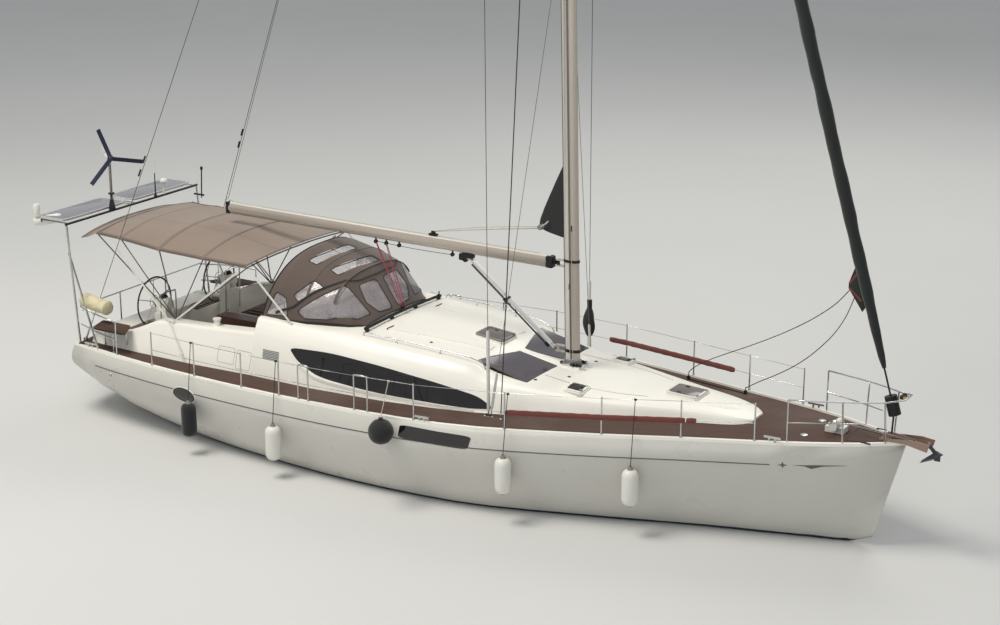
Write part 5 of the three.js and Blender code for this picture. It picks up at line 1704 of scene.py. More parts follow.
class YACHT_OT_hull_marks(bpy.types.Operator):
    """Paints the line along the topsides and sets the hull's windows and outlets"""

    bl_idname = "yacht.hull_marks"
    bl_label = "Hull marks"

    def execute(self, context):
        stripes, panes, rims, leads = [], [], [], []
        for side in SIDES.values():
            def wall(x, z, over, side=side):
                return hull_at(x, z, over, side)

            path = [wall(x, stripe_z(x), 0.0015) for x in spread(-6.6, 5.72, 120)]
            stripes.append(tape(path, (0, side, 0.05), sizes().stripe, 0.004))
            for shape in (DIAMOND, LANCE):
                outline = [Vector((x, stripe_z(x) + up)) for x, up in shape]
                stripes.append(patch(rounded(outline, 0.05, 2), wall, -0.002, 0.0035))
            panes.append(patch(dense(rounded(HULL_WINDOW, 0.16), 0.06), wall, -0.006, 0.004))
            panes.append(patch(oval(PORTLIGHT, (0.25, 0.13)), wall, -0.006, 0.005))
            rims.append(seam(oval(PORTLIGHT, (0.262, 0.142), 40), wall, 0.01))
            for x in (7.0, -6.95):
                half, sheer = deck_edge(x)
                leads.append(block((x, side * (half - 0.03), sheer + 0.05), (0.16, 0.03, 0.022), 0.008))
        outline = dense(rounded([(-0.8, 0.62), (0.8, 0.62), (0.8, 1.2), (-0.8, 1.2)], 0.1, 4), 0.05)
        stripes.append(seam(outline, transom_at, 0.004, -0.002))
        fit(joined(stripes), "cove_stripe", "stripe_paint")
        fit(joined(panes), "hull_windows", "dark_pane", angle=25)
        rims += [block(transom_at(y, 0.62, 0.004), (0.02, 0.09, 0.05), 0.006) for y in (-0.5, 0.5)]
        for y in (-0.3, 0.3):
            handle = [(y - 0.07, 0), (y - 0.06, 0.05), (y + 0.06, 0.05), (y + 0.07, 0)]
            rims.append(line([transom_at(at, 1.05, over) for at, over in handle], 0.009, 4, 3))
        fit(joined(rims), "portlight_rims", "white_plastic")
        at = hull_at(-6.22, 0.96)
        out = hull_at(-6.22, 0.96, 1) - at
        profile = [(0, 0), (0.034, 0), (0.03, 0.012), (0.018, 0.014), (0.016, 0.004), (0, 0.004)]
        fit(turned(profile, at, out, 24), "hull_outlet", "stainless")
        fit(joined(leads), "fairleads", "black_alloy")
        return {"FINISHED"}


# Fenders on their lines. name: x, middle height, look of the body
FENDERS = {
    "fender_quarter": (-4.15, 0.64, "black_cloth"),
    "fender_waist": (-2.295, 0.62, "white_plastic"),
    "fender_beam": (1.9, 0.81, "white_plastic"),
    "fender_bow": (3.79, 0.81, "white_plastic"),
}
FENDER = [
    (0, -0.31), (0.03, -0.309), (0.045, -0.3), (0.05, -0.288), (0.084, -0.276), (0.114, -0.25),
    (0.127, -0.21), (0.13, -0.17), (0.13, 0.17), (0.127, 0.21), (0.11, 0.252), (0.08, 0.276),
    (0.05, 0.288), (0.046, 0.3), (0.034, 0.31), (0.026, 0.332), (0.024, 0.338), (0, 0.338),
]


def fender_line(x, start, node):
    """Line from a fender up to a hitch round the top guard wire."""
    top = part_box(node)[1].z - 0.009
    wire = Vector((x, -(deck_edge(x)[0] - 0.03), top))
    pieces = [line([start, wire + Vector((0, -0.008, 0.004))], 0.006, roundness=3)]
    for step in (-0.015, 0, 0.015):
        turn = ellipse(wire + Vector((step, 0, 0)), (0, 0.012, 0), (0, 0, 0.012), 12)
        pieces.append(line(turn, 0.0058, closed_loop=True))
    eye = ellipse(start - Vector((0, 0, 0.014)), (0, 0, 0.016), (0.014, 0, 0), 12)
    pieces.append(line(eye, 0.0058, closed_loop=True))
    return joined(pieces)


class YACHT_OT_fenders(bpy.types.Operator):
    """Turns the fenders and hangs them from the guard wires"""

    bl_idname = "yacht.fenders"
    bl_label = "Fenders"

    def execute(self, context):
        for node, (x, z, look) in FENDERS.items():
            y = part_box(node)[0].y + 0.13
            body = turned(FENDER, (x, y, z), sides=40)
            fit(body, node + "_body", look, angle=40)
            repaint(body, "grey_plastic", lambda c, n, z=z: abs(c.z - z) > 0.285)
            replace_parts(body, node)
            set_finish(body, "fender_cover")
            rope_piece = fender_line(x, Vector((x, y, z + 0.345)), node)
            fit(rope_piece, node + "_line", "rope_dark", angle=60)
        x, y, z, r = -0.09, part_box("fender_round")[0].y + 0.205, 1.27, 0.203
        centre = Vector((x, y, z))
        profile = [(max(r * math.sin(t), 0), -r * math.cos(t)) for t in spread(0, math.pi - 0.25, 18)]
        profile += [(0.04, r + 0.004), (0.032, r + 0.02), (0.036, r + 0.03), (0, r + 0.03)]
        ball = turned(profile, centre, sides=44)
        fit(ball, "fender_round_body", "black_cloth", angle=60)
        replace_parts(ball, "fender_round")
        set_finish(ball, "fender_cover")
        rope_piece = fender_line(x, centre + Vector((0, 0, r + 0.036)), "fender_round")
        fit(rope_piece, "fender_round_line", "rope_white", angle=60)
        seams = []
        for a in around(6):
            way = Vector((math.cos(a), math.sin(a), 0))
            arc = [way * math.sin(t) - Vector(UP) * math.cos(t) for t in spread(0.1, 2.8, 18)]
            seams.append(line([centre + out * (r + 0.001) for out in arc], 0.0016))
        fit(joined(seams), "fender_round_seams", "black_rubber")
        return {"FINISHED"}


# Spars and what hangs on them

# Bands of the mast: middle height, height, how proud they stand
MAST_BANDS = [
    (2.23, 0.05, 0.004), (3.71, 0.045, 0.005), (9.3, 0.16, 0.006), (15.4, 0.14, 0.006), (21.3, 0.3, 0.006),
]
BOOM_BLOCKS = [-1.87, -1.66, -1.4, -0.35]


def mast_at(z):
    """Where the middle of the raked mast is at a height."""
    return 1.92 - 0.02399 * (z - 2.005)


def on_boom(x, y, over):
    """Point over or under the middle of the boom."""
    return Vector((x, y, 3.65 + (1.572 - x) * 0.011 + over))


def mast_band(z, height, proud):
    rings = []
    for share, grow in ((-0.5, -0.002), (-0.46, proud), (0.46, proud), (0.5, -0.002)):
        at = z + share * height
        rings.append(ellipse((mast_at(at), 0, at), (0.135 + grow, 0, 0), (0, 0.08 + grow, 0), 40))
    return shell(rings)


def hung_block(at, height=0.1):
    """Sheave block with its strap, hanging from a point."""
    x, y, z = at
    low = z - height * 0.6
    cheek = [(0, -0.006), (0.034, -0.006), (0.03, 0.006), (0, 0.006)]
    cheeks = [turned(cheek, (x, y + gap, low), ACROSS, 20) for gap in (-0.014, 0.014)]
    strap = block((x, y, z - 0.012), (0.03, 0.014, 0.05), 0.004)
    return joined([strap, *cheeks, sheave((x, y, low), 0.028, 0.022, 0.006, 20)])


class YACHT_OT_spars(bpy.types.Operator):
    """Adds the bands, slot, exits and masthead gear of the mast, and the fittings of the boom"""

    bl_idname = "yacht.spars"
    bl_label = "Spar fittings"

    def execute(self, context):
        fit(joined([mast_band(*row) for row in MAST_BANDS]), "mast_bands", "black_alloy", angle=30)
        fit(mast_band(2.045, 0.08, 0.022), "mast_collar", "grey_plastic", angle=40)
        mast = bpy.data.objects["mast_skin"]
        # The mast's aft-facing faces take the pale finish: partly its paler aft chamber, partly a painted
        # highlight where the light from aft falls
        repaint(mast, "white_alloy", lambda c, n: n.x < -0.05 and c.z > 2.0)
        slot = [(mast_at(z) - 0.1345, 0, z) for z in spread(2.95, 20.6, 30)]
        fit(tape(slot, (-1, 0, 0), 0.026, 0.004), "mast_slot", "black_rubber")
        heights = spread(2.1, 21.2, 34)
        chamber, groove_shadows, exits, halyards, organisers = ([] for _ in range(5))
        winch = [(0, 0), (0.03, 0), (0.032, 0.012), (0.024, 0.02), (0.032, 0.03), (0.02, 0.04), (0, 0.04)]
        for side in SIDES.values():
            path = [(mast_at(z) - 0.112, side * 0.0455, z) for z in heights]
            chamber.append(tape(path, (-4, side * 5, 0), 0.012, 0.005))
            # Dark strips halfway along each side: painted shadow in the gap between the aft chamber and the
            # mast's body
            path = [(mast_at(z) + 0.006, side * 0.0795, z) for z in heights]
            groove_shadows.append(tape(path, (0, side, 0), 0.03, 0.004))
            for k, z in enumerate((3.3, 4.25)):
                x, y = mast_at(z) - 0.01 + 0.05 * k, side * (0.0785 - 0.004 * k)
                exits.append(block((x, y, z), (0.018, 0.01, 0.1), 0.004))
                foot = (mast_at(2.12) + 0.05 * k, side * 0.09, 2.1)
                halyards.append(line([(x, y + side * 0.004, z - 0.04), foot], 0.0042))
            for k, x in enumerate((1.98, 2.04, 2.1, 1.76)):
                exits.append(turned(winch, (x, side * (0.118 - 0.012 * k), 2.008), sides=20))
            organisers.append(block((1.86, side * 0.118, 2.02), (0.16, 0.03, 0.04), 0.008))
            organisers.append(block((2.14, side * 0.07, 2.02), (0.05, 0.06, 0.045), 0.01))
        exits.append(block((mast_at(8.6) + 0.14, 0, 8.6), (0.05, 0.09, 0.12), 0.015))
        fit(joined(chamber), "mast_chamber", "wire", angle=20)
        fit(joined(groove_shadows), "mast_grooves", "mast_shade")
        fit(joined(exits), "mast_exits", "black_alloy")
        fit(joined(halyards), "halyards", "rope_white", angle=60)
        fit(joined(organisers), "mast_organisers", "stainless")
        top = [
            rod((1.62, 0, 21.655), (1.62, 0, 22.18), 0.004, 0.002),
            block((1.62, 0, 21.67), (0.05, 0.04, 0.03), 0.008),
            rod((1.24, 0, 21.655), (1.14, 0, 21.93), 0.005),
            block((1.14, 0, 21.94), (0.22, 0.006, 0.03), 0.002),
            rod((1.42, 0, 21.655), (1.42, 0, 21.74), 0.032, 0.028),
        ]
        fit(joined(top), "masthead_gear", "black_alloy")

        boom = bpy.data.objects["boom_skin"]
        # The boom's upward faces take the pale finish as a painted highlight from the light above
        repaint(boom, "white_alloy", lambda c, n: n.z > 0.55)
        repaint(boom, "black_alloy", lambda c, n: c.x < -4.925 or c.x > 1.49)
        repaint(boom, "stainless", lambda c, n: abs(c.x + 0.02) < 0.07 and c.z < 3.56)
        fit(block((1.495, 0, 3.645), (0.13, 0.15, 0.2), 0.03), "boom_front_fitting", "black_alloy", "boom")
        cluster = [
            block((-0.04, 0, 3.53), (0.2, 0.11, 0.09), 0.02),
            block((-0.17, 0, 3.49), (0.1, 0.07, 0.12), 0.025),
            sheave((-0.1, 0, 3.46), 0.05, 0.044, 0.02),
        ]
        fit(joined(cluster), "vang_head_blocks", "black_alloy", "boom", 40)
        bits = [eyelet(on_boom(-4.99, 0, 0.1249), 0.03, 0.042, 0.006, 24)]
        bits += [sheave(on_boom(-5.005, y, -0.0203), 0.045, 0.038, 0.01) for y in (-0.032, 0.032)]
        fit(joined(bits), "boom_end_fittings", "stainless", "boom")
        # The tracks on top take the same pale finish, so that they merge with the painted highlight
        tracks = []
        for y in (-0.012, 0.012):
            tracks.append(tape([on_boom(x, y, 0.1115) for x in spread(-4.9, 1.3, 20)], UP, 0.006, 0.003))
        fit(joined(tracks), "boom_tracks", "white_alloy", "boom")
        blocks = [hung_block(on_boom(x, 0, -0.108)) for x in BOOM_BLOCKS]
        fit(joined(blocks), "boom_blocks", "black_alloy", "boom")
        under = [on_boom(-1.9, 0.02, -0.17), on_boom(-1.1, 0.018, -0.19), on_boom(-0.35, 0.014, -0.18)]
        fit(line(under, 0.005, 4), "boom_underline", "rope_dark", "boom", 60)
        return {"FINISHED"}


class YACHT_OT_running_rigging(bpy.types.Operator):
    """Leads the mainsheet, the topping lift and the purchase of the vang"""

    bl_idname = "yacht.running_rigging"
    bl_label = "Running rigging"

    def execute(self, context):
        car = on_roof(TRAVELLER_X, 0, 0.135)
        car.y = -0.03
        fit(hung_block(car + Vector((0, 0, 0.03)), 0.07), "traveller_block", "black_alloy")
        split = 3.36
        upper, lower = [], []
        for x, y in ((-1.88, 0.02), (-1.86, -0.02), (-1.67, 0.025), (-1.65, -0.025)):
            start = on_boom(x, y, -0.17)
            end = car + Vector((0.25 * (x + 1.76), y * 1.6, 0))
            share = (start.z - split) / (start.z - end.z)
            upper.append(line([start, start.lerp(end, share)], 0.007, roundness=3))
            lower.append(line([start.lerp(end, at) for at in spread(share, 1, 8)], 0.007, roundness=3))
        head, knee = (-1.76, 0, 3.5), (-1.76, 0, split)
        bent_rope(joined(upper), "mainsheet_head", "rope_red")
        knee = (-1.7, 0, split)
        bent_rope(joined(lower), "mainsheet_falls", "rope_red")
        foot, top = on_boom(-4.99, 0, 0.16), Vector((1.2, 0, 21.53))
        knee = foot.lerp(top, 0.05)
        lift = line([foot.lerp(knee, share) for share in spread(0, 1, 4)], 0.004)
        bent_rope(lift, "topping_lift_tail", "wire")
        lift = line([knee.lerp(top, share) for share in spread(0, 1, 40)], 0.004)
        bent_rope(lift, "topping_lift", "wire")

        low, high = Vector((1.58, 0, 2.23)), Vector((-0.02, 0, 3.5))

        def on_vang(share, drop=0.0, y=0.0):
            return low.lerp(high, share) + Vector((-0.045, y, -0.06)) * drop

        tackle = [line([on_vang(0.08, 1, y), on_vang(0.53, 1, y)], 0.005) for y in (-0.016, 0, 0.016)]
        fit(joined(tackle), "vang_purchase", "rope_dark", "vang", 60)
        pitch = (0, math.radians(38.4), 0)
        blocks = [block(on_vang(share, 0.9), (0.09, 0.05, 0.05), 0.012, pitch) for share in (0.06, 0.55)]
        collar = [(0.0365, 0), (0.046, 0.004), (0.046, 0.036), (0.0365, 0.04)]
        blocks.append(turned(collar, on_vang(0.53), high - low))
        fit(joined(blocks), "vang_blocks", "black_alloy", "vang")
        cover = [(0.0225, 0), (0.033, 0.003), (0.034, 0.03), (0.034, 0.76), (0.03, 0.775), (0.0225, 0.78)]
        fit(turned(cover, on_vang(0.585), high - low, 36), "vang_sleeve", "satin_alloy", "vang_rod")
        # The dark rod under the vang's upper tube is painted shade: it stands for the lower of two silver
        # tubes, dark in shadow
        fit(rod(on_vang(0.575, 0.85), on_vang(0.95, 0.85), 0.017), "vang_spring", "wire", "vang_rod")
        return {"FINISHED"}


# Posts of the guard rails along the boat
POSTS = [-5.1, -4.1, -3.05, -2.25, -1.65, -0.75, 0.35, 1.85, 3.3, 4.45, 5.5]
# Padding round the lower guard wire, from x to x
SLEEVES = {"starboard": [(1.87, 4.5), (4.53, 4.66)], "port": [(1.5, 4.14)]}
TURNBUCKLE = [
    (0, 0), (0.02, 0), (0.024, 0.05), (0.02, 0.07), (0.016, 0.09),
    (0.019, 0.2), (0.016, 0.32), (0.009, 0.34), (0.009, 0.42), (0, 0.42),
]


def rail_wire(x, height):
    """Half width and height of a guard wire at x, straight between the posts."""
    i = next(k for k, post in enumerate(POSTS) if post > x)
    t = (x - POSTS[i - 1]) / (POSTS[i] - POSTS[i - 1])
    y, z = (a + (b - a) * t for a, b in zip(deck_edge(POSTS[i - 1]), deck_edge(POSTS[i])))
    return y - 0.03, z + height


class YACHT_OT_standing_rigging(bpy.types.Operator):
    """Adds turnbuckles, covers, stay fittings, rail sleeves and gate hoops"""

    bl_idname = "yacht.standing_rigging"
    bl_label = "Standing rigging"

    def execute(self, context):
        covers, pads, screws, sleeves, hoops = ([] for _ in range(5))
        for name, side in SIDES.items():
            base = Vector((1.33, side * 1.64, 1.505))
            cap = Vector((1.283, side * 1.674, 9.362)) - base
            lower = Vector((1.7286, side * 0.088, 9.15)) - Vector((1.37, side * 1.635, 1.535))
            inner = base + Vector((0.04, -side * 0.005, 0.03))
            for at, run, length, radius in ((base, cap, 1.3, 0.027), (inner, lower, 0.56, 0.021)):
                way = run.normalized()
                profile = [(0.006, 0), (radius, 0.004), (radius, length - 0.03)]
                profile += [(radius * 0.6, length), (0.006, length)]
                covers.append(turned(profile, at + way * 0.1, way, 24))
                screws.append(rod(at, at + way * 0.11, 0.011))
            pads.append(block(base + Vector((0, 0, 0.001)), (0.15, 0.06, 0.016), 0.005))
            foot = deck_at(-7.06, side * 1.59, 0.03)
            screws.append(turned(TURNBUCKLE, foot, Vector((1.2, side * 0.05, 21.4)) - foot, 20))
            for x0, x1 in SLEEVES[name]:
                rings = []
                for k, x in enumerate(spread(x0, x1, max(int((x1 - x0) / 0.06), 2))):
                    y, z = rail_wire(x, 0.32)
                    pinch = 1 + 0.05 * math.sin(k * 1.7) + 0.03 * math.sin(k * 4.1)
                    if k == 0 or x > x1 - 0.03:
                        pinch = 0.82
                    across, up = (0, side * 0.028 * pinch, 0), (0, 0, 0.046 * pinch)
                    rings.append(ellipse((x, side * y, z - 0.004), across, up, 20))
                sleeves.append(shell(rings))
            for x, way in ((-1.65, -0.2), (-0.75, 0.25)):
                half, sheer = deck_edge(x)
                near, far = side * (half - 0.03), side * (deck_edge(x + way)[0] - 0.03)
                path = [
                    (x, near, sheer + 0.605),
                    (x + way * 0.12, near, sheer + 0.635),
                    (x + way * 0.85, far, sheer + 0.635),
                    (x + way, far, sheer + 0.585),
                    (x + way, far, sheer + 0.045),
                ]
                hoops.append(line(path, 0.0122, 5, 3))
                hoops.append(rod(path[-1], (x + way, far, sheer + 0.08), 0.02, 0.014))
            for x in POSTS:
                half, sheer = deck_edge(x)
                profile = [(0, 0), (0.026, 0), (0.022, 0.012), (0.0155, 0.05), (0, 0.05)]
                hoops.append(turned(profile, (x, side * (half - 0.03), sheer + 0.044), sides=20))
        fit(joined(covers), "turnbuckle_covers", "grey_cover", angle=40)
        fit(joined(pads), "chainplates", "stainless")
        fit(joined(screws), "turnbuckles", "stainless")
        foot, head = Vector((1.56, -1.655, 1.56)), Vector((1.635, -0.07, 21.5))
        halyard = line([foot, foot.lerp(head, 0.5), head], 0.0085, roundness=3)
        fit(halyard, "side_halyard", "rope_dark", angle=60)
        shackle = [disc((1.56, -1.655, 1.505), 0.022, 0.018, 0.012), block(foot, (0.026, 0.02, 0.09), 0.008)]
        fit(joined(shackle), "halyard_shackle", "chrome")

        rings = []
        for k, z in enumerate(spread(1.93, 2.57, 16)):
            swell = 0.045 + 0.07 * math.sin(math.pi * min(k / 12, 1)) ** 0.8 * (1 - 0.35 * k / 16)
            ring = []
            for t in around(24):
                r = swell * (1 + 0.12 * math.sin(3 * t + 0.5 * k))
                ring.append((1.325 + r * math.cos(t), 1.645 + 0.7 * r * math.sin(t), z))
            rings.append(ring)
        inner = [ellipse((1.325, 1.645, z), (0.031, 0, 0), (0, 0.031, 0), 24) for z in (2.57, 1.93)]
        bag = fit(shell([*rings, *inner, rings[0]], cap=False), "shroud_bag", "black_cloth", angle=60)
        fit(joined(sleeves), "wire_sleeves", "sleeve", angle=60)
        fit(joined(hoops), "gate_hoops", "stainless", angle=60)
        return {"FINISHED"}


# Stern arch, helm and cockpit

ARCH_X = -7.18


class YACHT_OT_arch_gear(bpy.types.Operator):
    """Builds the solar panels and the aerials and float on the stern arch"""

    bl_idname = "yacht.arch_gear"
    bl_label = "Arch gear"

    def execute(self, context):
        for name, side in SIDES.items():
            node = "solar_panel_" + name
            low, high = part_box(node)
            middle, size = (low + high) / 2, high - low
            inner = (size.x - 0.07, size.y - 0.07)
            edge = frame_ring(middle, (0, 0, 0), size[:2], inner, -size.z / 2 + 0.001, size.z / 2)
            modified(edge, "BEVEL", width=0.002, segments=2)
            fit(edge, node + "_frame", "satin_alloy")
            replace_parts(edge, node)
            cells = (size.x - 0.066, size.y - 0.066, 0.008)
            glass = block(middle + Vector((0, 0, 0.009)), cells, 0.002)
            fit(glass, node + "_cells", "solar_cells")
            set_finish(glass, "solar_glass")
            back = [
                block(middle + Vector((0, 0, 0.0015)), (size.x - 0.068, size.y - 0.068, 0.006), 0.001),
                block(middle + Vector((0.1, 0.3 * side, -0.012)), (0.12, 0.1, 0.022), 0.006),
            ]
            fit(joined(back), node + "_back", "white_plastic")
        foot = [(0, 0), (0.035, 0), (0.03, 0.02), (0.014, 0.05), (0, 0.05)]
        whip = [
            rod((ARCH_X, 0.6, 3.52), (ARCH_X, 0.6, 3.96), 0.013, 0.009),
            turned(foot, (ARCH_X, 0.6, 3.515)),
        ]
        fit(joined(whip), "whip_aerial_base", "black_alloy", angle=50)
        whip = rod((ARCH_X, 0.6, 3.95), (ARCH_X, 0.64, 4.44), 0.009, 0.005)
        fit(whip, "whip_aerial", "white_plastic", angle=50)
        dome = [(0, 0), (0.02, 0), (0.02, 0.2), (0.05, 0.215)]
        dome += [(0.07, 0.235), (0.066, 0.265), (0.045, 0.29), (0, 0.3)]
        dome = turned(dome, (ARCH_X, 0.84, 3.515), sides=32)
        fit(dome, "satellite_aerial", "white_plastic", angle=50)
        lamp = [(0, 0), (0.022, 0), (0.026, 0.02), (0.022, 0.06), (0, 0.065)]
        light = [
            rod((-6.98, 1.66, 3.3), (-6.92, 1.62, 3.86), 0.012),
            block((-7.08, 1.71, 3.34), (0.24, 0.03, 0.03), 0.006),
            turned(lamp, (-6.92, 1.62, 3.85)),
        ]
        fit(joined(light), "stern_light", "black_alloy")
        pod = [(0, 0), (0.05, 0.006), (0.08, 0.04), (0.085, 0.1)]
        pod += [(0.085, 0.44), (0.07, 0.49), (0.03, 0.51), (0, 0.51)]
        can = [(0, 0), (0.055, 0), (0.06, 0.02), (0.06, 0.18), (0.05, 0.2), (0, 0.2)]
        parts = [
            turned(pod, (-7.98, -1.74, 3.44), (0.72, 0.55, 0.12), 32),
            turned(can, (-7.9, -1.72, 3.565)),
        ]
        fit(joined(parts), "stern_float", "white_plastic", angle=50)
        clips = [
            block((-7.82, -1.68, 3.475), (0.05, 0.08, 0.06), 0.01),
            block((-7.7, -1.56, 3.5), (0.05, 0.08, 0.05), 0.01),
        ]
        fit(joined(clips), "float_clips", "black_rubber")
        knots = []
        for side in SIDES.values():
            low, high = Vector((-7.06, side * 1.59, 1.45)), Vector((1.2, side * 0.05, 21.4))
            for share in (0.15, 0.162):
                knots.append(rod(low.lerp(high, share), low.lerp(high, share + 0.006), 0.016))
        fit(joined(knots), "stay_insulators", "black_rubber")
        collar = [(0.03, 0), (0.06, 0.01), (0.055, 0.03), (0.03, 0.035)]
        fit(turned(collar, (-7.195, -0.56, 3.79)), "pole_collar", "black_rubber")
        return {"FINISHED"}


HELM_X = -6.02
HELM_Z = 2.06


class YACHT_OT_helm(bpy.types.Operator):
    """Builds the wheels with their leather rims, and dresses the pedestals"""

    bl_idname = "yacht.helm"
    bl_label = "Helm"

    def execute(self, context):
        dress, faces, guards = [], [], []
        nose = [(0, 0), (0.04, 0), (0.042, 0.03), (0.036, 0.06), (0.02, 0.075), (0, 0.078)]
        compass = [(0, 0), (0.07, 0), (0.076, 0.02), (0.07, 0.045), (0.045, 0.075), (0, 0.085)]
        for side_name, side in SIDES.items():
            name = "wheel_" + side_name
            y = side * 0.9
            centre = Vector((HELM_X, y, HELM_Z))
            turns = ellipse(centre, (0, 0, 0.44), (0, 0.44, 0), 72)
            rim = line(turns, 0.0145, roundness=5, closed_loop=True)
            fit(rim, name + "_rim", "leather", name, 60)
            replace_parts(rim, name)
            parts = []
            for t in around(5):
                out = Vector((0, math.sin(t), math.cos(t)))
                middle = centre + out * 0.2 - Vector((0.012, 0, 0))
                spoke = [centre + out * 0.03, middle, centre + out * 0.432]
                parts.append(line(spoke, 0.0085, 5, 3))
            parts.append(turned(nose, centre + Vector((0.036, 0, 0)), (-1, 0, 0), 32))
            ring = ellipse(centre - Vector((0.006, 0, 0)), (0, 0, 0.11), (0, 0.11, 0), 36)
            parts.append(line(ring, 0.006, closed_loop=True))
            fit(joined(parts), name + "_spokes", "stainless", name, 50)

            dress.append(block((-5.8, y, 2.085), (0.24, 0.2, 0.14), 0.05, (0, -0.25, 0), 4))
            faces.append(turned(compass, (-5.8, y, 2.15), (-0.25, 0, 1), 32))
            for step in (-0.055, 0.055):
                faces.append(block((-5.935, y + step, 2.045), (0.014, 0.085, 0.085), 0.01, (0, -0.25, 0)))
            half = [(-5.72, 0.2, 1.5), (-5.7, 0.2, 2.2), (-5.7, 0.14, 2.28)]
            hoop = [(x, y - gap, z) for x, gap, z in half] + [(x, y + gap, z) for x, gap, z in half[::-1]]
            guards.append(line(hoop, 0.0125, 6, 3))
            guards.append(block((-5.72, y, 1.52), (0.03, 0.4, 0.03), 0.008))
        fit(joined(dress), "pedestal_heads", "white_gelcoat", angle=50)
        fit(joined(faces), "instruments", "black_rubber", angle=40)
        fit(joined(guards), "pedestal_guards", "stainless", angle=60)
        return {"FINISHED"}


# Cushions: name, low corner, high corner
CUSHIONS = [
    ("cushion_starboard", (-5.2, -1.225, 1.578), (-3.62, -0.72, 1.638)),
    ("cushion_port", (-5.2, 0.72, 1.578), (-3.62, 1.225, 1.638)),
    ("cushion_helm_starboard", (-6.455, -1.2, 1.518), (-6.265, -0.58, 1.568)),
    ("cushion_helm_port", (-6.455, 0.58, 1.518), (-6.265, 1.2, 1.568)),
]


def stuffed(name, low, high, look):
    """Cushion blown up by a cloth simulation, kept within its box, then piped along its edges."""
    low, high = Vector(low), Vector(high)
    size = high - low
    obj = block((low + high) / 2, size, 0.012, segments=3)
    only(obj)
    obj.data.remesh_voxel_size = max(min(size) / 5, 0.011)
    bpy.ops.object.voxel_remesh()
    rest = [v.co.copy() for v in obj.data.vertices]
    bpy.ops.object.modifier_add(type="CLOTH")
    cloth_settings = obj.modifiers[-1].settings
    cloth_settings.use_pressure = True
    cloth_settings.uniform_pressure_force = 4
    cloth_settings.tension_stiffness = 25
    cloth_settings.compression_stiffness = 25
    cloth_settings.bending_stiffness = 2
    cloth_settings.quality = 5
    cloth_settings.effector_weights.gravity = 0
    scene = bpy.context.scene
    for moment in range(1, 17):
        scene.frame_set(moment)
    bpy.ops.object.modifier_apply(modifier=obj.modifiers[-1].name)
    scene.frame_set(1)
    for v, was in zip(obj.data.vertices, rest):
        move = v.co - was
        v.co = was + move * min(1, 0.014 / max(move.length, 0.001))
    modified(obj, "SMOOTH", factor=0.5, iterations=4)
    fit(obj, name, look, angle=70)
    corners = rounded([(low.x, low.y), (high.x, low.y), (high.x, high.y), (low.x, high.y)], 0.04, 3)
    levels = (low.z + 0.004, high.z - 0.002)
    piping = [line([(p.x, p.y, z) for p in corners], 0.004, closed_loop=True) for z in levels]
    fit(joined(piping), name + "_piping", "cream_cloth", angle=60)
    return obj


class YACHT_OT_cockpit(bpy.types.Operator):
    """Lays the cockpit's teak and cushions, and adds its lockers, corner seats and roll"""

    bl_idname = "yacht.cockpit"
    bl_label = "Cockpit"

    def execute(self, context):
        slats, seats, legs = [], [], []
        for side in SIDES.values():
            slats.append(block((-4.36, side * 0.93, 1.5665), (1.92, 0.6, 0.012), 0.003))
            slats.append(block((-6.355, side * 0.89, 1.5065), (0.2, 0.72, 0.012), 0.003))
            slats.append(block((-4.36, side * 0.375, 1.0865), (1.92, 0.4, 0.012), 0.003))
            corners = [(-6.6, side * 1.9), (-5.86, side * 1.9), (-6.1, side * 1.46), (-6.74, side * 1.46)]
            outline = rounded(corners, 0.12, 4)
            seats.append(shell([[Vector((p.x, p.y, z)) for p in outline] for z in (1.725, 1.755)]))
            for x, y in ((-6.62, 1.56), (-6.12, 1.56), (-6.2, 1.82)):
                foot = deck_at(x, side * y, 0.012)
                legs.append(rod(foot, (x, side * y, 1.726), 0.012))
                legs.append(disc(foot, 0.028, 0.02, 0.014))
        slats.append(block((-6.13, 0, 1.0865), (0.2, 1.0, 0.012), 0.003))
        slats.append(block((-5.52, 0, 1.0865), (0.3, 2.3, 0.012), 0.003))
        fit(joined(slats), "cockpit_slats", "teak_slats")
        for name, low, high in CUSHIONS:
            stuffed(name, low, high, "cushion_cloth")
        fit(joined(seats), "corner_seats", "teak_slats")
        fit(joined(legs), "corner_seat_legs", "stainless")
        self.roll()
        fit(block((-6.2, 0, 1.19), (0.38, 0.62, 0.2), 0.02), "helm_locker", "grey_plastic")
        return {"FINISHED"}

    def roll(self):
        """Lashes the rolled cushion to the stern rail."""
        start, end = Vector((-7.12, -1.5, 2.08)), Vector((-6.46, -1.62, 2.05))
        way = (end - start).normalized()
        across = way.cross(Vector(UP)).normalized()
        up = across.cross(way)
        tied = (0.22, 0.78)
        rings = []
        for share in spread(0, 1, 36):
            tie = min(abs(share - at) for at in tied)
            r = 0.128 - 0.016 * math.exp(-((tie / 0.02) ** 2))
            if share in (0, 1):
                r *= 0.9
            ring = []
            for t in around(40):
                lump = 0.003 * math.sin(3 * t + 9 * share) + 0.002 * math.sin(7 * t - 14 * share)
                out = across * math.cos(t) + up * math.sin(t)
                ring.append(start.lerp(end, share) + out * (r + lump))
            rings.append(ring)
        roll = fit(shell(rings), "rail_roll", "cream_cloth", angle=60)
        ties = []
        for share in tied:
            middle = start.lerp(end, share)
            rim = Vector((middle.x, -1.65 - max(middle.x + 7.08, 0) * 0.396, 1.97))
            ties.append(line(ellipse(middle, across * 0.117, up * 0.117, 32), 0.006, closed_loop=True))
            tail = [middle - up * 0.112 + across * 0.02, (middle + rim) / 2 - Vector((0, 0, 0.03)), rim]
            ties.append(line(tail, 0.006, 4))
            ties.append(block(rim, (0.03, 0.04, 0.04), 0.012))
        fit(joined(ties), "roll_ties", "white_cloth", angle=60)


# Bow fittings and the bimini's flap


CHAIN = [(6.52, -0.05, 1.875), (6.9, -0.06, 1.86), (7.3, -0.072, 1.835), (7.62, -0.072, 1.812)]
CHAIN_LINK = 0.034


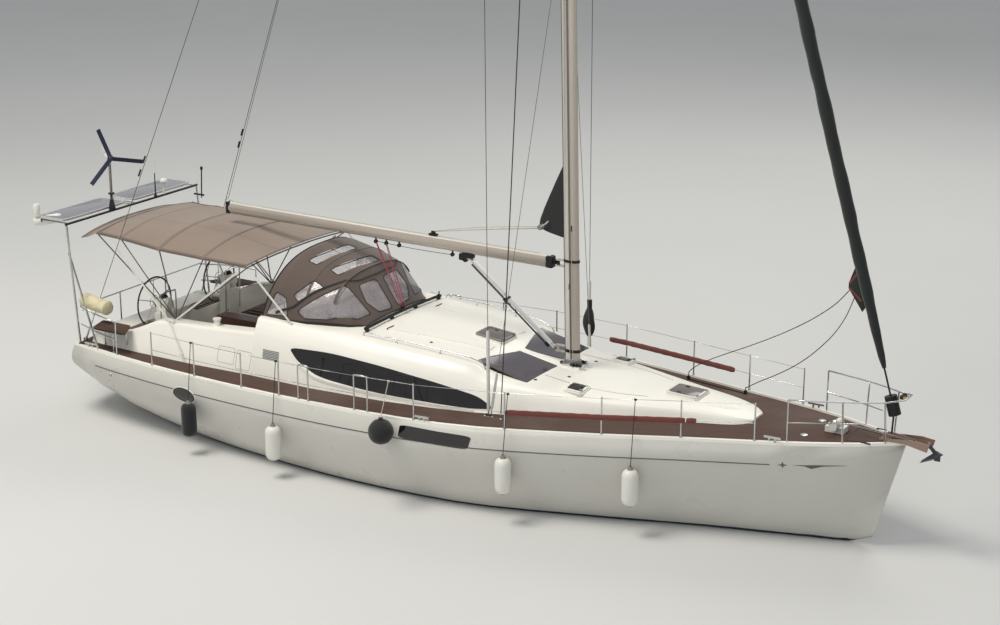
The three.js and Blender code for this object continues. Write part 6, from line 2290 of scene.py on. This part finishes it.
def flap_at(u, v):
    """Point of the cloth that hangs from the bimini's aft bow."""
    share = 2 * u - 1
    edge = bimini_at(BIMINI[0][0], share, -0.004)
    aft = Vector((-7.17, share * 1.42, edge.z - 0.045 - 0.05 * abs(share) ** 3))
    sag = 0.02 * math.sin(math.pi * v) * (1 + 0.4 * math.sin(9 * share))
    return edge.lerp(aft, v) - Vector((0, 0, sag))


class YACHT_OT_bow_gear(bpy.types.Operator):
    """Lays the anchor chain and adds the bow's lights, rollers and deck fittings"""

    bl_idname = "yacht.bow_gear"
    bl_label = "Bow gear"

    def execute(self, context):
        links = []
        path = [Vector(p) for p in CHAIN]
        total = arc_length(path)
        count = int(total / CHAIN_LINK)
        for k in range(count):
            s = total * (k + 0.5) / count
            for a, b in zip(path, path[1:]):
                if s <= (b - a).length:
                    break
                s -= (b - a).length
            way = (b - a).normalized()
            side = Vector(ACROSS) if k % 2 else way.cross(Vector(ACROSS))
            link = ellipse(a + way * s, way * 0.021, side * 0.0125, 12)
            links.append(line(link, 0.0052, closed_loop=True))
        fit(joined(links), "anchor_chain", "galvanised", angle=60)

        low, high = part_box("windlass")
        middle = (low + high) / 2
        half = [(0, 0), (0.075, 0), (0.078, 0.012), (0.06, 0.024), (0.056, 0.034)]
        gypsy = half + [(0.06, 0.044), (0.078, 0.056), (0.075, 0.07), (0, 0.07)]
        drum = [(0, 0), (0.05, 0), (0.036, 0.03), (0.036, 0.05), (0.052, 0.08), (0, 0.085)]
        wheels = [
            turned(gypsy, (middle.x, low.y + 0.11, high.z - 0.052), (0, -1, 0), 36),
            turned(drum, (middle.x, high.y - 0.1, high.z - 0.05), ACROSS, 32),
        ]
        fit(joined(wheels), "windlass_gypsy", "chrome")
        lights = [block((7.42, y, 2.44), (0.07, 0.06, 0.06), 0.012) for y in (-0.05, 0.05)]
        fit(joined(lights), "bow_lights", "black_rubber")
        lenses = [disc((7.45, y, 2.425), 0.022, 0.022, 0.03) for y in (-0.06, 0.06)]
        fit(joined(lenses), "bow_light_lenses", "yellow_plastic")
        filler = [(0, 0), (0.06, 0), (0.055, 0.01), (0.03, 0.014), (0, 0.014)]
        fillers = [turned(filler, deck_at(6.05, y, 0.014)) for y in (0.36, -0.36)]
        fit(joined(fillers), "deck_fillers", "stainless")
        lid = rounded([(6.66, -0.3), (7.08, -0.2), (7.08, 0.2), (6.66, 0.3)], 0.12, 3)
        fit(seam(lid, deck_at, 0.004, 0.016), "chain_locker_seam", "black_rubber")

        flap = grid(44, 10, flap_at)
        modified(flap, "SOLIDIFY", thickness=0.003, offset=-1)
        fit(flap, "bimini_flap", "bimini_flap_cloth", angle=60)
        wide = arc_length([flap_at(k / 40, 0.5) for k in range(41)])
        deep = arc_length([flap_at(0.5, k / 10) for k in range(11)])
        hem = tape([flap_at(k / 40, 0.94) + Vector((0, 0, 0.001)) for k in range(41)], UP, 0.05, 0.005)
        fit(hem, "bimini_flap_hem", "bimini_hem")
        return {"FINISHED"}


# The stage


class YACHT_OT_stage(bpy.types.Operator):
    """Lays a pale floor at the waterline and lights it softly"""

    bl_idname = "yacht.stage"
    bl_label = "Stage"

    def execute(self, context):
        bpy.ops.mesh.primitive_circle_add(vertices=96, radius=220, fill_type="NGON")
        floor = bpy.context.object
        floor.name = "floor"
        s = Shader("floor_paint")
        s.set(Base_Color=s.mix(s.noise(0.15), colour(206, 206, 204), colour(214, 214, 212)))
        s.set(Roughness=0.9)
        floor.data.materials.append(s.material)
        for name, place, size, power, warm in (
            ("key", (-10, -13, 33), 14, 8600, colour(255, 250, 240)),
            ("fill", (12, -30, 15), 22, 1150, colour(244, 246, 252)),
            ("rim", (2, 26, 24), 16, 2400, colour(255, 252, 246)),
        ):
            light = bpy.data.lights.new(name, "AREA")
            light.size = size
            light.energy = power
            light.color = warm
            lamp = bpy.data.objects.new(name, light)
            lamp.location = place
            aim = Vector((0, 0, 2)) - Vector(place)
            lamp.rotation_euler = aim.to_track_quat("-Z", "Y").to_euler()
            context.scene.collection.objects.link(lamp)
        world = bpy.data.worlds.new("sky")
        world.use_nodes = True
        sky = world.node_tree.nodes["Background"]
        sky.inputs["Color"].default_value = (*colour(232, 236, 240), 1)
        sky.inputs["Strength"].default_value = 0.5
        context.scene.world = world
        context.scene.view_settings.view_transform = "Standard"
        return {"FINISHED"}


OPERATORS = [
    YACHT_OT_camera,
    YACHT_OT_genoa_sheets,
    YACHT_OT_frame_finishes,
    YACHT_OT_coachroof,
    YACHT_OT_coamings,
    YACHT_OT_hatches,
    YACHT_OT_roof_gear,
    YACHT_OT_bimini,
    YACHT_OT_sprayhood,
    YACHT_OT_genoa,
    YACHT_OT_mainsail,
    YACHT_OT_hull_marks,
    YACHT_OT_fenders,
    YACHT_OT_spars,
    YACHT_OT_running_rigging,
    YACHT_OT_standing_rigging,
    YACHT_OT_arch_gear,
    YACHT_OT_helm,
    YACHT_OT_cockpit,
    YACHT_OT_bow_gear,
    YACHT_OT_stage,
]


class YACHT_PT_sidebar(bpy.types.Panel):
    """Lists the steps that build the yacht's looks."""

    bl_idname = "YACHT_PT_sidebar"
    bl_label = "Sailing yacht"
    bl_space_type = "VIEW_3D"
    bl_region_type = "UI"
    bl_category = "Yacht"

    def draw(self, context):
        for group in (context.scene.yacht_colours, context.scene.yacht_sizes):
            for key in group.bl_rna.properties.keys():
                if key not in ("rna_type", "name"):
                    self.layout.prop(group, key)
        for operator in OPERATORS:
            self.layout.operator(operator.bl_idname)


CLASSES = [YachtColours, YachtSizes, *OPERATORS, YACHT_PT_sidebar]


def register():
    for item in CLASSES:
        bpy.utils.register_class(item)
    bpy.types.Scene.yacht_colours = bpy.props.PointerProperty(type=YachtColours)
    bpy.types.Scene.yacht_sizes = bpy.props.PointerProperty(type=YachtSizes)


def unregister():
    del bpy.types.Scene.yacht_sizes
    del bpy.types.Scene.yacht_colours
    for item in reversed(CLASSES):
        bpy.utils.unregister_class(item)


def main():
    register()
    for operator in OPERATORS:
        group, name = operator.bl_idname.split(".")
        getattr(getattr(bpy.ops, group), name)()


if __name__ == "__main__":
    main()
